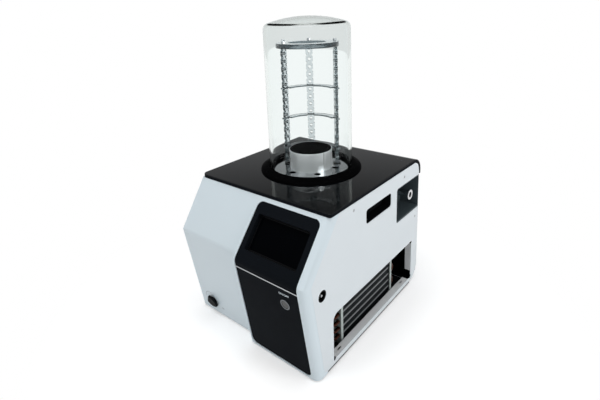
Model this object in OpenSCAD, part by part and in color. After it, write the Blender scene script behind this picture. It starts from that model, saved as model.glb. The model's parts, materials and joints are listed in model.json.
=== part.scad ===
// Benchtop freeze dryer: sloping cabinet, cold trap, refrigeration set, clear tray rack and bell jar.
// Millimetres. X points right, Y to the rear, Z up. The floor is z = 0, under the middle of the cabinet.

/* [Cabinet] */
// Width of the cabinet
cabinet_w = 440; // [420:1:540]
// Depth from the knee of the column to the rear of the top
cabinet_d = 562; // [540:1:690]
// Height of the top above the floor
cabinet_h = 400; // [370:1:480]
// Height of the rubber feet under the floor tray
foot_h = 4; // [3:1:12]
// Radius of the rubber feet
foot_r = 15; // [10:1:20]
// Thickness of the folded steel sheets
sheet_t = 1.5; // [1:0.1:2]
// Height of the black edge of the floor tray
tray_rim = 5; // [4:1:10]
// Radius of the side panels' lower rear corner
rear_corner_r = 45; // [20:1:60]
// Width of the folded flanges at the edges of a side panel
flange_w = 15; // [10:1:16]

/* [Front shell] */
// Wall of the moulded front shell
shell_t = 3; // [2:0.5:4]
// Height of the knee, where the front changes slope
knee_z = 267; // [250:1:290]
// Set-back of the top's front edge behind the knee of the column
top_set_back = 103; // [90:1:120]
// Set-back of the column's foot behind its knee
column_lean = 42; // [30:1:55]
// Set-back of the left face's knee behind the column's knee
left_set_back = 20; // [12:1:28]
// Set-back of the left face's foot behind its knee
left_lean = 45; // [30:1:55]
// Width of the forward column
column_w = 216; // [205:1:235]
// Bend radius of the knees
knee_r = 22; // [20:1:30]
// Radius of the shell's right corner
corner_r = 18; // [8:1:19]
// Radius of the shell's left corner
left_corner_r = 8; // [5:1:18]
// Depth of the shell's side returns, in front of the side panels
shell_return = 26; // [22:1:32]

/* [Control panels] */
// White rim left of the black panels
rim_left = 6.5; // [5:0.5:10]
// White rim right of the black panels
rim_right = 19; // [19:0.5:24]
// White rim above the black panels
rim_top = 10.5; // [8:0.5:16]
// White rim below the black panels
rim_bottom = 5; // [4:0.5:12]
// Thickness of the black panels
panel_t = 3; // [2:0.5:4]
// How far the black panels lie below the rim
panel_sink = 1.5; // [1:0.5:2]
// Corner radius of the black panels
panel_corner_r = 16; // [8:1:20]
// Distance of the bright seam below the knee
seam_drop = 20; // [16:1:40]
// Width of the bright seam strip
trim_w = 2.5; // [2:0.5:4]
// Width of the screen recess
screen_w = 159; // [120:1:160]
// Height of the screen recess
screen_h = 89; // [70:1:92]
// Depth of the screen recess
screen_recess = 14; // [8:1:16]
// Distance of the screen recess from the top of the panel
screen_top = 30; // [24:1:34]
// Distance of the screen recess from the right edge of the panel
screen_right = 17; // [15:1:25]
// Outer radius of the power button's metal ring
button_ring_r = 13.5; // [12:0.5:15]
// Radius of the power button
button_r = 9.5; // [8:0.5:10]
// Travel of the power button
button_travel = 1.5; // [1:0.1:2]
// Distance of the power button below the knee
button_drop = 64; // [50:1:110]
// Distance of the power button from the right edge of the panel
button_right = 42.5; // [24:0.5:80]

/* [Top cover] */
// Height of the top cover's black edge
cover_t = 10; // [8:1:14]
// Wall of the moulded cover
cover_skin = 3; // [2:0.5:4]
// Width of the cover's side skirts
cover_skirt = 4; // [3:0.5:4.5]
// Outer radius of the cover's bend at the rear
cover_bend_r = 40; // [30:1:50]
// How far the cover reaches down the rear
cover_drop = 52; // [51:1:70]
// Radius of the cover's left front corner
cover_corner_r = 18; // [8:1:20]
// Radius of the cover's right front corner
cover_right_r = 6; // [5:1:14]

/* [Cold trap] */
// Distance of the chamber's axis from the rear of the cabinet
chamber_back = 246; // [220:1:260]
// Inner radius of the cold trap
trap_r = 100; // [85:1:101]
// Wall of the cold trap
trap_wall = 2.5; // [2:0.5:3]
// Depth of the cold trap
trap_depth = 164; // [140:1:170]
// Thickness of the foam jacket
foam_t = 22; // [15:1:26]
// Radius of the evaporator tube
coil_tube_r = 4.5; // [3:0.5:5]
// Pitch of the evaporator coil
coil_pitch = 34; // [34:1:36]

/* [Drying chamber] */
// Outer radius of the sealing ring
ring_r = 141.5; // [136:0.5:150]
// Inner radius of the sealing ring
ring_bore_r = 106; // [105.5:0.5:107]
// Height of the jar's seat on the sealing ring
ring_seat = 9; // [6:1:12]
// Outer radius of the bell jar
jar_r = 115.5; // [114:0.5:125]
// Wall of the bell jar
jar_wall = 8; // [5:0.5:9]
// Height of the bell jar
jar_h = 407; // [390:1:490]
// Rise of the jar's dome
jar_rise = 14; // [8:1:24]
// Radius of the jar's shoulder
jar_shoulder_r = 18; // [14:1:30]
// Thickness of the baffle disc
disc_t = 1.5; // [1:0.5:2]
// Radius of the draft tube
draft_r = 60; // [50:1:61]
// Height of the draft tube
draft_h = 53; // [30:1:60]
// Radius of the shelf rings
shelf_r = 84; // [80:1:90]
// Width of the shelf rings
shelf_w = 20; // [18:1:21]
// Thickness of the shelf rings
shelf_t = 4; // [3:0.5:6]
// Height of the lowest shelf ring above the top
shelf_low = 46; // [40:1:50]
// Distance from shelf to shelf
shelf_pitch = 86; // [60:1:88]
// Width of a rack post
post_w = 20; // [18:1:24]
// Thickness of a rack post
post_t = 8; // [6:1:10]
// Height of the rack's top ring above the cabinet
rack_h = 336; // [320:1:345]
// Thickness of the rack's top ring
rack_top_t = 12; // [8:1:14]

/* [Right side] */
// Front edge of the condenser window, from the rear of the cabinet
window_front = 458; // [420:1:458]
// Rear edge of the condenser window, from the rear of the cabinet
window_back = 50; // [48:1:70]
// Lower edge of the condenser window
window_low = 22; // [20:1:30]
// Upper edge of the condenser window
window_high = 144; // [120:1:150]
// Corner radius of the condenser window
window_r = 18; // [8:1:24]
// Depth of the window's folded flanges
window_fold = 18; // [12:1:18]
// Length of the carry grips
grip_l = 127; // [100:1:140]
// Height of the carry grips
grip_h = 38; // [30:1:44]
// Depth of the carry grips
grip_depth = 28; // [20:1:36]
// Distance of the middle of the carry grips below the top
grip_drop = 69; // [60:1:80]
// Length of the port pocket, up to the rear panel
pocket_l = 140; // [120:1:150]
// Height of the port pocket
pocket_h = 103; // [97:1:108]
// Distance of the port pocket's upper edge below the top
pocket_drop = 53; // [53:1:65]
// Depth of the port pocket
pocket_depth = 58; // [40:1:60]
// Distance of the vacuum port from the rear of the cabinet
port_back = 57; // [54:1:64]
// Distance of the vacuum port below the top
port_drop = 103; // [100:1:110]
// Radius of the vacuum port's flange
port_flange_r = 15; // [15:0.5:20]
// Radius of the vacuum tube
port_tube_r = 10; // [8:0.5:10]
// Bore radius of the vacuum tube
port_bore_r = 8; // [5:0.5:8]
// Radius of the gas inlet
gas_r = 14; // [10:0.5:16]
// Height of the gas inlet
gas_z = 219; // [200:1:235]

/* [Drain] */
// Distance of the drain knob from the left side
knob_left = 60; // [44:1:80]
// Height of the drain knob
knob_z = 45; // [38:1:60]
// Length of the drain knob's pointer
knob_l = 38; // [30:1:46]
// Height of the drain knob above the shell
knob_h = 10; // [8:1:16]

/* [Refrigeration] */
// Radius of the compressor shell
compressor_r = 72; // [60:1:74]
// Height of the compressor shell
compressor_h = 150; // [130:1:156]
// Length of the condenser's fin pack
condenser_l = 258; // [200:1:262]
// Rows of condenser tubes
condenser_rows = 6; // [4:1:6]
// Pitch of the condenser rows
condenser_pitch = 20.5; // [18:0.5:21]
// Fins in the condenser
fin_count = 32; // [16:1:36]
// Radius of the condenser fan
fan_r = 60; // [50:1:60]
// Blades of the condenser fan
fan_blades = 5; // [3:1:7]

/* [Hidden] */
$fn = 96;

half_w = cabinet_w / 2;
rear_y = cabinet_d / 2;
gap = 0.3;            // clearance between curved faces that nearly touch
eps = 0.01;           // overshoot of cuts

// Heights
tray_z = foot_h;
floor_z = tray_z + 2;                   // upper face of the tray's floor
panel_z = tray_z + tray_rim;            // lower edge of the side and rear panels
cover_z = cabinet_h - cover_t;          // lower edge of the top cover's skirt
skin_z = cabinet_h - cover_skin;        // underside of the cover's skin

// Leans from the vertical of the column's upper and lower face, and of the left side's two faces
slope_a = atan2(top_set_back, cover_z - knee_z);
slope_b = atan2(column_lean, knee_z - tray_z);
left_a = atan2(top_set_back - left_set_back, cover_z - knee_z);
left_b = atan2(left_lean, knee_z - tray_z);
// How far the rounded knee stays behind the sharp one, whose place along Y is front_y
knee_loss = knee_r * (cos((slope_a - slope_b) / 2) / cos((slope_a + slope_b) / 2) - 1);
front_y = -cabinet_d / 2 - knee_loss;

// Profile points [y, z] of the column and of the left face: top, knee and foot
column_top = [front_y + top_set_back, cover_z];
column_knee = [front_y, knee_z];
column_foot = [front_y + column_lean, tray_z];
left_top = column_top;
left_knee = [front_y + left_set_back, knee_z];
left_foot = [front_y + left_set_back + left_lean, tray_z];
column_x = half_w - column_w;

// A profile point moved straight inwards by g on a face that leans by a
function inward(p, a, g) = p + g * [cos(a), -sin(a)];
// The knee of a profile moved inwards by g, where its two faces meet again
function inner_knee(k, a, b, g) = k + g / cos((a + b) / 2) * [cos((a - b) / 2), -sin((a - b) / 2)];
// Middle of a knee's bend
function bend_middle(k, a, b) = inner_knee(k, a, b, knee_r);

// Black panels on the column: distances are measured from the sharp knee
panel_x0 = column_x + rim_left;
panel_x1 = half_w - rim_right;
panel_w = panel_x1 - panel_x0;
slope_l = norm(column_top - column_knee);
lower_l = norm(column_knee - column_foot);
panel_top = slope_l - rim_top;
panel_bottom = lower_l - rim_bottom;
panel_gap = 0.4;
seam_gap = 0.2;
foot_corner_r = 12;
trim_top = seam_drop - trim_w / 2;
trim_bottom = seam_drop + trim_w / 2;
screen_x1 = panel_x1 - screen_right;
screen_x0 = screen_x1 - screen_w;
screen_s1 = panel_top - screen_top;
screen_s0 = screen_s1 - screen_h;
tub_t = 2;
tub_r = 4;
glass_t = 3;
button_x = panel_x1 - button_right;
ring_rise = 1.6;
barrel_r = button_r + gap + 1.4;
barrel_l = 22;

// Chamber axis
chamber_y = rear_y - chamber_back;
trap_out_r = trap_r + trap_wall;
trap_floor_z = cabinet_h - trap_depth;
coil_r = trap_out_r + gap + coil_tube_r;
coil_turns = 3.25;
coil_steps = 22;
coil_sides = 8;
coil_out = 1 / cos(180 / coil_steps);   // moves the coil's corners out, so that its straights clear the trap
foam_in_r = (coil_r + coil_tube_r) * coil_out + gap;
foam_out_r = foam_in_r + foam_t;
foam_low_z = trap_floor_z - 10;
foam_top_z = cover_z - 6;
trap_flange_r = 128;
trap_flange_t = 3;
disc_r = trap_out_r + 2;
disc_z = cabinet_h;
disc_top = disc_z + disc_t;
jar_z = cabinet_h + ring_seat;
vapour_hole_r = 9;
vapour_circle_r = 70;
vapour_holes = 6;

// Rack: three posts, with the open side of the shelves towards the front right
post_angles = [-171, 49, 125];
post_mid_r = shelf_r - 8;
post_in_r = post_mid_r - post_t / 2;
rack_top_z = cabinet_h + rack_h;
shelf_zs = [for (i = [0:2]) cabinet_h + shelf_low + i * shelf_pitch];
post_foot_r = 11;
post_foot_h = 3;
post_hole_r = 4.5;
post_step = shelf_pitch / 4;
post_hole_z = shelf_low + shelf_t / 2 - disc_t - 1.5 * post_step;
nut_r = 6;

// Right-hand side
window_y0 = rear_y - window_front;
window_y1 = rear_y - window_back;
grip_y = chamber_y - 1.5;
grip_z = cabinet_h - grip_drop;
grip_r = 8;
panel_rear_y = rear_y - cover_t;
rear_in_y = panel_rear_y - sheet_t;
rear_bend = [panel_rear_y - rear_corner_r, panel_z + rear_corner_r];
pocket_y0 = panel_rear_y - pocket_l;
pocket_high = cabinet_h - pocket_drop;
pocket_low = pocket_high - pocket_h;
pocket_t = 2.5;
pocket_r = 8;
inlet_x = -half_w + 60;
inlet_z = panel_z + rear_corner_r + 18;
inlet_w = 28;
inlet_h = 21;
port_y = rear_y - port_back;
port_z = cabinet_h - port_drop;
port_face_x = half_w - 4;
pipe_bend = 30;
pipe_end_x = 70;
gas_y = front_y + 66;
screw_r = 3.6;
screw_spots = [[front_y + 196, cover_z - 18], [rear_y - 106, cover_z - 21], [rear_y - 30, 219]];

// Drain
knob_x = -half_w + knob_left;
knob_turn = 21;   // how far the pointer hangs below level at rest
knob_s = (knee_z - knob_z) / cos(left_b);
spindle_r = 4;
running = 0.05;
valve_r = 12;
valve_l = 34;
drain_r = 5;
drain_z = knob_z - 4;
drain_y = left_knee[0] + (knee_z - drain_z) * tan(left_b) + 24;
drain_turn_z = foam_low_z - 22;

// Refrigeration
compressor_x = -95;
compressor_y = chamber_y - 6;
mount_h = 16;
compressor_z = floor_z + mount_h + 3;
dome_r = 45;
condenser_out_x = half_w - 22;
condenser_in_x = condenser_out_x - 38;
tube_r = 4.75;
tube_xs = [condenser_in_x + 10, condenser_in_x + 30];
condenser_y0 = window_y0 + 65;
condenser_y1 = condenser_y0 + condenser_l;
condenser_z0 = window_low + 10;
row_zs = [for (i = [0:condenser_rows - 1]) condenser_z0 + i * condenser_pitch];
condenser_top = row_zs[condenser_rows - 1] + 16;
plate_t = 2;
hairpin_run = 13;
fan_y = (condenser_y0 + condenser_y1) / 2;
fan_z = 80;
duct_r = fan_r + 4;
duct_t = 2;
shroud_x = condenser_in_x - 2;
spider_x = shroud_x - 34;
fan_x0 = spider_x + 6;
fan_w = 20;
hub_r = 18;
motor_r = 27;
motor_l = 38;
shaft_r = 4;

// Frames and board
bar = 15;
frame_t = 5;
front_frame_y = front_y + top_set_back + 9;
rear_frame_y = port_y - port_tube_r - 2 - frame_t;
front_frame_half = half_w - 20;
rear_frame_half = half_w - 70;
board_bars = [140, 226];
board_x0 = 30;
board_w = 150;
board_y = front_frame_y - 20;

// Lays a [y, z] outline along X, from x0 to x1
module along_x(x0, x1) {
    translate([x0, 0, 0]) rotate([90, 0, 90]) linear_extrude(x1 - x0) children();
}

// Lays an [x, z] outline along Y, from y0 to y1
module along_y(y0, y1) {
    translate([0, y1, 0]) rotate([90, 0, 0]) linear_extrude(y1 - y0) children();
}

// Lays an [x, y] outline along Z, from z0 to z1
module along_z(z0, z1) {
    translate([0, 0, z0]) linear_extrude(z1 - z0) children();
}

// A rectangle from [x0, y0] to [x1, y1] with the radius r at all corners
module rounded(x0, y0, x1, y1, r) {
    translate([x0 + r, y0]) square([x1 - x0 - 2 * r, y1 - y0]);
    translate([x0, y0 + r]) square([x1 - x0, y1 - y0 - 2 * r]);
    for (x = [x0 + r, x1 - r]) for (y = [y0 + r, y1 - r]) translate([x, y]) circle(r);
}

// A rectangle with the radius left and the radius right at its two upper corners only
module rounded_top(x0, y0, x1, y1, left, right) {
    half = (x1 - x0) / 2;
    translate([x0, y0]) {
        square([half, y1 - y0 - left]);
        translate([left, 0]) square([half - left, y1 - y0]);
        translate([left, y1 - y0 - left]) circle(left);
    }
    translate([x0 + half, y0]) {
        square([half, y1 - y0 - right]);
        square([half - right, y1 - y0]);
        translate([half - right, y1 - y0 - right]) circle(right);
    }
}

// A corner at [x, y] of a filled outline that opens towards [sx, sy], to be cut away to the radius r
module corner_cut(x, y, sx, sy, r) {
    translate([x, y]) difference() {
        translate([min(0, sx * r) - (sx > 0 ? 1 : 0), min(0, sy * r) - (sy > 0 ? 1 : 0)]) square(r + 1);
        translate([sx * r, sy * r]) circle(r);
    }
}

// Frames on the faces of the front: local X is across, Y is up the face from the knee, Z points out of it
module on_slope() { translate([0, column_knee[0], knee_z]) rotate([90 - slope_a, 0, 0]) children(); }
module on_lower() { translate([0, column_knee[0], knee_z]) rotate([90 + slope_b, 0, 0]) children(); }
module on_left() { translate([0, left_knee[0], knee_z]) rotate([90 + left_b, 0, 0]) children(); }

// A disc or ring on the chamber's axis
module at_chamber(z) { translate([0, chamber_y, z]) children(); }

// A straight round bar from point p to point q
module bar_between(p, q, r) {
    d = q - p;
    l = norm(d);
    translate(p) rotate([0, acos(d[2] / l), atan2(d[1], d[0])]) cylinder(r = r, h = l);
}

// A round pipe along points whose legs turn at right angles, with the bend radius b
module pipe_run(points, r, b) {
    last = len(points) - 1;
    function heading(i) = (points[i + 1] - points[i]) / norm(points[i + 1] - points[i]);
    for (i = [0:last - 1]) {
        h = heading(i);
        bar_between(points[i] + (i == 0 ? 0 : b) * h, points[i + 1] - (i == last - 1 ? 0 : b) * h, r);
    }
    for (i = [1:last - 1]) pipe_elbow(points[i], heading(i - 1), heading(i), r, b);
}

// A quarter bend at the corner p, from the heading a to the heading c
module pipe_elbow(p, a, c, r, b) {
    m = p - a * b + c * b;
    z = cross(-c, a);
    multmatrix([
        [-c[0], a[0], z[0], m[0]],
        [-c[1], a[1], z[1], m[1]],
        [-c[2], a[2], z[2], m[2]],
        [0, 0, 0, 1]
    ]) rotate_extrude(angle = 90) translate([b, 0]) circle(r);
}

// Cross-section of the front shell's volume: x across, y inwards from the front face at y0
module shell_section(x0, x1, y0, y1, rl, rr) {
    translate([x0 + rl, y0]) square([x1 - x0 - rl - rr, y1 - y0]);
    translate([x0, y0 + rl]) square([rl, y1 - y0 - rl]);
    translate([x1 - rr, y0 + rr]) square([rr, y1 - y0 - rr]);
    translate([x0 + rl, y0 + rl]) circle(rl);
    translate([x1 - rr, y0 + rr]) circle(rr);
}

// The filled outline [y, z] behind a front profile that is moved inwards by g; the bend's circle is a
// hair larger, so that it crosses the straight lines
module profile(top, knee, foot, a, b, g) {
    m = bend_middle(knee, a, b);
    r = knee_r - g;
    up = r * [-cos(a), sin(a)];
    down = r * [-cos(b), -sin(b)];
    ends = [
        [rear_y, foot[1] - 40], foot + [g / cos(b) + 40 * tan(b), -40],
        top + [g / cos(a) + 40 * tan(a), 40], [rear_y, top[1] + 40]
    ];
    if (r > 0) {
        polygon([ends[0], ends[1], m + down, m, m + up, ends[2], ends[3]]);
        translate(m) circle(r + 0.003);
    } else {
        polygon([ends[0], ends[1], inner_knee(knee, a, b, g), ends[2], ends[3]]);
    }
}
module column_profile(g) { profile(column_top, column_knee, column_foot, slope_a, slope_b, g); }
module left_profile(g) { profile(left_top, left_knee, left_foot, left_a, left_b, g); }

// A solid behind a bent front, its faces moved inwards by g. Its rounded sides run on straight past the
// knee, and begin a little ahead of the front, so that they cross it
module bent_block(knee, a, b, x0, x1, rl, rr, g) {
    m = inner_knee(knee, a, b, g);
    up = knee + cabinet_h * [tan(a), 1];
    down = knee + cabinet_h * [tan(b), -1];
    module sides() {
        translate([0, 0, -cabinet_h]) linear_extrude(2 * cabinet_h)
            shell_section(x0 + g, x1 - g, -0.3, cabinet_d, rl - g, rr - g);
    }
    intersection() {
        along_x(x0 - 1, x1 + 1) profile(up, knee, down, a, b, g);
        translate([0, m[0], m[1]]) rotate([-a, 0, 0]) sides();
        translate([0, m[0], m[1]]) rotate([b, 0, 0]) sides();
    }
}
module column_block(g) {
    bent_block(column_knee, slope_a, slope_b, column_x, half_w, shell_t + 1, corner_r, g);
}
module left_block(g) {
    bent_block(left_knee, left_a, left_b, -half_w, column_x + corner_r, left_corner_r, shell_t + 1, g);
}

// What lies past the edge y of panels that are larger by c, with the two round corners there
module beyond_panel(y, c) {
    translate([panel_x0 - c - 1, y]) square([panel_w + 2 * c + 2, cabinet_h]);
    corner_cut(panel_x0 - c, y, 1, -1, panel_corner_r);
    corner_cut(panel_x1 + c, y, -1, -1, panel_corner_r);
}

// Outline of the black panels with room c around them, as a cutter through the column's front
module panel_cutter(c) {
    difference() {
        along_x(panel_x0 - c, panel_x1 + c) difference() {
            column_profile(-2);
            column_profile(10);
        }
        on_slope() translate([0, 0, -15]) linear_extrude(20) beyond_panel(panel_top + c, c);
        on_lower() translate([0, 0, -15]) linear_extrude(20) mirror([0, 1]) beyond_panel(panel_bottom + c, c);
    }
}

// Where the straight lower edge of a side panel begins, behind the shell's return
right_edge_y = inward(column_foot, -slope_b, shell_return)[0] + foot_corner_r;
left_edge_y = inward(left_foot, -left_b, shell_return)[0] + foot_corner_r;

// Outline [y, z] of a side behind the shell's return, c further in, with a round lower front corner
module return_cut(right, c) {
    edge_y = right ? right_edge_y : left_edge_y;
    difference() {
        if (right) column_profile(shell_return + c);
        else left_profile(shell_return + c);
        difference() {
            translate([front_y, tray_z - 50])
                square([edge_y - front_y, foot_corner_r + panel_z - tray_z + 50]);
            translate([edge_y, panel_z + foot_corner_r]) circle(foot_corner_r - c);
        }
    }
}

module front_fascia() {
    color("gainsboro") difference() {
        intersection() {
            difference() {
                union() {
                    column_block(0);
                    left_block(0);
                }
                column_block(shell_t);
                left_block(shell_t);
            }
            translate([-half_w - 1, front_y - 1, tray_z]) cube([cabinet_w + 2, cabinet_d, cover_z - tray_z]);
        }
        along_x(column_x, half_w + 1) return_cut(true, 0);
        along_x(-half_w - 1, column_x + eps) return_cut(false, 0);
        panel_cutter(panel_gap);
        on_left() translate([knob_x, -knob_s, -10]) cylinder(r = spindle_r + gap, h = 20);
    }
}

// A grid of upright slots, for warm air
module slots(x, y, count, pitch, w, h) {
    for (i = [0:count - 1]) rounded(x + i * pitch, y, x + i * pitch + w, y + h, w / 2 - eps);
}

// A grip's rectangle, larger by c, with the corner radius r
module grip_area(c, r) { rounded(-grip_l / 2 - c, -grip_h / 2 - c, grip_l / 2 + c, grip_h / 2 + c, r); }

// Outline of a side sheet, behind the shell's return and inside the bent rear sheet
module side_outline(right) {
    rear = rear_in_y - gap;
    difference() {
        intersection() {
            return_cut(right, seam_gap);
            translate([front_y, panel_z]) square([rear - front_y, cover_z - panel_z]);
        }
        difference() {
            translate([rear_bend[0] - gap, panel_z - 1]) square(rear_corner_r + 1);
            translate(rear_bend) circle(rear_corner_r - sheet_t - gap);
        }
        corner_cut(rear, cover_z, -1, -1, cover_bend_r - cover_t);
        translate([grip_y, grip_z]) grip_area(gap, grip_r);
        for (p = screw_spots) translate(p) circle(screw_r + gap);
    }
}

module side_foot_flange() {
    flange_l = rear_bend[0] - gap - window_y0;
    translate([half_w - flange_w, window_y0, panel_z]) cube([flange_w, flange_l, sheet_t]);
}

// The condenser window, with relief holes where its folded flanges end
module window_area() {
    difference() {
        rounded(window_y0, window_low, window_y1, window_high, 6);
        corner_cut(window_y0, window_high, 1, -1, window_r);
    }
    translate([window_y0 + 3.5, window_low]) circle(4.5);
    translate([window_y1 - 4, window_low + 3]) circle(7);
    translate([window_y1 - 1.5, window_high - 3]) circle(4.5);
}

module side_panel_right() {
    color("gainsboro") {
        along_x(half_w - sheet_t, half_w) difference() {
            side_outline(true);
            window_area();
            rounded(pocket_y0, pocket_low, panel_rear_y + 20, pocket_high, pocket_r);
            translate([gas_y, gas_z]) circle(gas_r + gap);
        }
        side_foot_flange();
    }
}

// Angle strips behind the condenser window, along its lower and rear edges
module window_strips() {
    far = half_w - sheet_t;
    strip_l = window_front - window_back - 26;
    color("silver") {
        translate([far - window_fold, window_y0 + 10, window_low - sheet_t]) difference() {
            cube([window_fold, strip_l, sheet_t]);
            for (y = [20, strip_l - 34]) translate([6, y, -1]) cube([4, 14, sheet_t + 2]);
        }
        translate([far - sheet_t, window_y0 + 10, window_low - 10]) cube([sheet_t, strip_l, 10]);
        translate([far - window_fold, window_y1, window_low + 20])
            cube([window_fold, sheet_t, window_high - window_low - 30]);
        translate([far - sheet_t, window_y1, window_low + 20])
            cube([sheet_t, 12, window_high - window_low - 30]);
    }
}

module side_panel_left() {
    color("gainsboro") mirror([1, 0, 0]) {
        along_x(half_w - sheet_t, half_w) difference() {
            side_outline(false);
            slots(chamber_y - 90, 50, 10, 18, 6, 80);
        }
        side_foot_flange();
    }
}

module rear_panel() {
    top = cover_z - cover_bend_r + cover_t;
    color("gainsboro") difference() {
        along_x(-half_w, half_w) {
            translate([rear_in_y, rear_bend[1]]) square([sheet_t, top - rear_bend[1]]);
            translate(rear_bend) intersection() {
                difference() {
                    circle(rear_corner_r);
                    circle(rear_corner_r - sheet_t);
                }
                translate([0, -rear_corner_r]) square(rear_corner_r);
            }
        }
        along_y(rear_in_y - 1, panel_rear_y + 1) {
            translate([half_w - pocket_depth - pocket_t - gap, pocket_low])
                square([cabinet_w, pocket_high - pocket_low]);
            slots(-150, 130, 12, 16, 6, 90);
            translate([inlet_x, inlet_z]) square([inlet_w, inlet_h]);
        }
    }
}

module base_plate() {
    edge = half_w - sheet_t / 2;
    rear = rear_bend[0] + 1;
    t = floor_z - tray_z;
    color("#202326") {
        translate([-edge, left_edge_y, tray_z]) cube([2 * edge, rear - left_edge_y, t]);
        translate([column_x, right_edge_y, tray_z])
            cube([edge - column_x, left_edge_y - right_edge_y + 1, t]);
        translate([-half_w + 14, left_foot[0] + 6, tray_z])
            cube([cabinet_w - column_w - 8, left_edge_y - left_foot[0], t]);
        translate([column_x + 8, column_foot[0] + 6, tray_z])
            cube([column_w - 30, right_edge_y - column_foot[0], t]);
        translate([-edge, left_edge_y, tray_z]) cube([t, rear - left_edge_y, tray_rim]);
        translate([edge - t, right_edge_y, tray_z]) cube([t, rear - right_edge_y, tray_rim]);
        translate([-edge, rear - t, tray_z]) cube([2 * edge, t, tray_rim]);
    }
}

module rubber_feet() {
    color("#151515") for (x = [-1, 1]) for (y = [left_foot[0] + 55, panel_rear_y - 70])
        translate([x * (half_w - 45), y, 0]) cylinder(r = foot_r, h = foot_h);
}

// Outline [y, z] of the top cover, with its skin moved inwards by g
module cover_outline(g) {
    m = [rear_y - cover_bend_r, cabinet_h - cover_bend_r];
    front = column_top[0] + (g > 0 ? cover_skirt : 0);
    low = cover_z - (g > 0 ? 1 : 0);
    inner = rear_y - cover_t - (g > 0 ? 1 : 0);
    difference() {
        union() {
            translate([front, low]) square([m[0] - front, cabinet_h - g - low]);
            translate([inner, cabinet_h - cover_drop - (g > 0 ? 1 : 0)])
                square([rear_y - g - inner, cover_drop - cover_bend_r + (g > 0 ? 1 : 0)]);
            intersection() {
                translate(m) circle(cover_bend_r - g);
                translate(m) square(cover_bend_r);
            }
        }
        translate(m) intersection() {
            circle(cover_bend_r - cover_t - (g > 0 ? 1 : 0));
            square(cover_bend_r);
        }
    }
}

// An upright block with the plan of the top cover, smaller by c
module cover_plan(c) {
    along_z(0, cabinet_h + 1) mirror([0, 1]) rounded_top(
        -half_w + c, -cabinet_d, half_w - c, -column_top[0] - c, cover_corner_r - c, cover_right_r - c
    );
}

module top_cover() {
    color("#17191c") difference() {
        intersection() {
            along_x(-half_w, half_w) cover_outline(0);
            cover_plan(0);
        }
        intersection() {
            along_x(-half_w + cover_skirt, half_w - cover_skirt) cover_outline(cover_skin);
            cover_plan(cover_skirt);
        }
        at_chamber(skin_z - 1) cylinder(r = trap_out_r + gap, h = cover_skin + 2);
    }
}

// A portal of flat bars, across the cabinet
module portal(half) {
    difference() {
        translate([-half, floor_z]) square([2 * half, skin_z - floor_z]);
        translate([-half + bar, floor_z + bar]) square([2 * (half - bar), skin_z - floor_z - 2 * bar]);
    }
}

module front_frame() {
    color("silver") along_y(front_frame_y, front_frame_y + frame_t) {
        portal(front_frame_half);
        for (z = board_bars) translate([-front_frame_half + 1, z]) square([2 * front_frame_half - 2, 12]);
    }
}

module rear_frame() {
    color("silver") along_y(rear_frame_y, rear_frame_y + frame_t) portal(rear_frame_half);
}

module side_screws() {
    color("silver") for (side = [0, 1]) for (p = screw_spots)
        mirror([side, 0, 0]) translate([half_w, p[0], p[1]]) rotate([0, -90, 0]) {
            cylinder(r1 = screw_r, r2 = 2, h = sheet_t + 0.5);
            translate([0, 0, sheet_t]) cylinder(r = 2, h = 10);
        }
}

// A hand grip let into the right side
module carry_cup() {
    color("#101214") translate([0, grip_y, grip_z]) difference() {
        along_x(half_w - grip_depth, half_w - 0.4) grip_area(0, grip_r);
        along_x(half_w - grip_depth + 2, half_w) grip_area(-2, grip_r - 2);
    }
}
module carry_cup_right() { carry_cup(); }
module carry_cup_left() { mirror([1, 0, 0]) carry_cup(); }

// A rectangle around the screen recess, larger by c
module screen_area(c, r) { rounded(screen_x0 - c, screen_s0 - c, screen_x1 + c, screen_s1 + c, r); }

module upper_control_panel() {
    tub_low = -panel_sink - screen_recess;
    color("#17191c") difference() {
        union() {
            difference() {
                along_x(panel_x0, panel_x1) difference() {
                    column_profile(panel_sink);
                    column_profile(panel_sink + panel_t);
                }
                on_slope() translate([0, 0, -15]) linear_extrude(20) beyond_panel(panel_top, 0);
                on_lower() translate([panel_x0 - 1, -cabinet_h, -15])
                    cube([panel_w + 2, cabinet_h - trim_top + seam_gap, 20]);
            }
            on_slope() translate([0, 0, tub_low]) linear_extrude(screen_recess - 1)
                screen_area(tub_t, tub_r + tub_t);
        }
        on_slope() translate([0, 0, tub_low - 1]) linear_extrude(screen_recess + 4) screen_area(0, tub_r);
    }
}

module trim_strip() {
    color("silver") on_lower() translate([panel_x0, -trim_bottom, -panel_sink - panel_t])
        cube([panel_w, trim_w, panel_t + 0.5]);
}

module lower_control_panel() {
    color("#17191c") on_lower() translate([0, 0, -panel_sink - panel_t]) linear_extrude(panel_t)
        difference() {
            mirror([0, 1])
                rounded_top(
                    panel_x0, trim_bottom + seam_gap, panel_x1, panel_bottom, panel_corner_r, panel_corner_r
                );
            translate([button_x, -button_drop]) circle(barrel_r + gap);
        }
}

module touch_screen() {
    low = -panel_sink - screen_recess;
    color("#0b0c0e") on_slope() {
        translate([0, 0, low - glass_t]) linear_extrude(glass_t) screen_area(tub_t, tub_r + tub_t);
        translate([0, 0, low - glass_t - 18]) linear_extrude(18) screen_area(-4, 3);
    }
}

module screen_bezel() {
    color("#1c1f22") on_slope() translate([0, 0, -panel_sink - screen_recess]) linear_extrude(1.5)
        difference() {
            screen_area(-seam_gap, tub_r - seam_gap);
            screen_area(-4, 2);
        }
}

module at_button(n) { on_lower() translate([button_x, -button_drop, n - panel_sink]) children(); }

module power_button() {
    color("silver") {
        at_button(-4) cylinder(r = button_r, h = 5);
        at_button(-barrel_l - 2) cylinder(r = spindle_r, h = barrel_l);
    }
}

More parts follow.
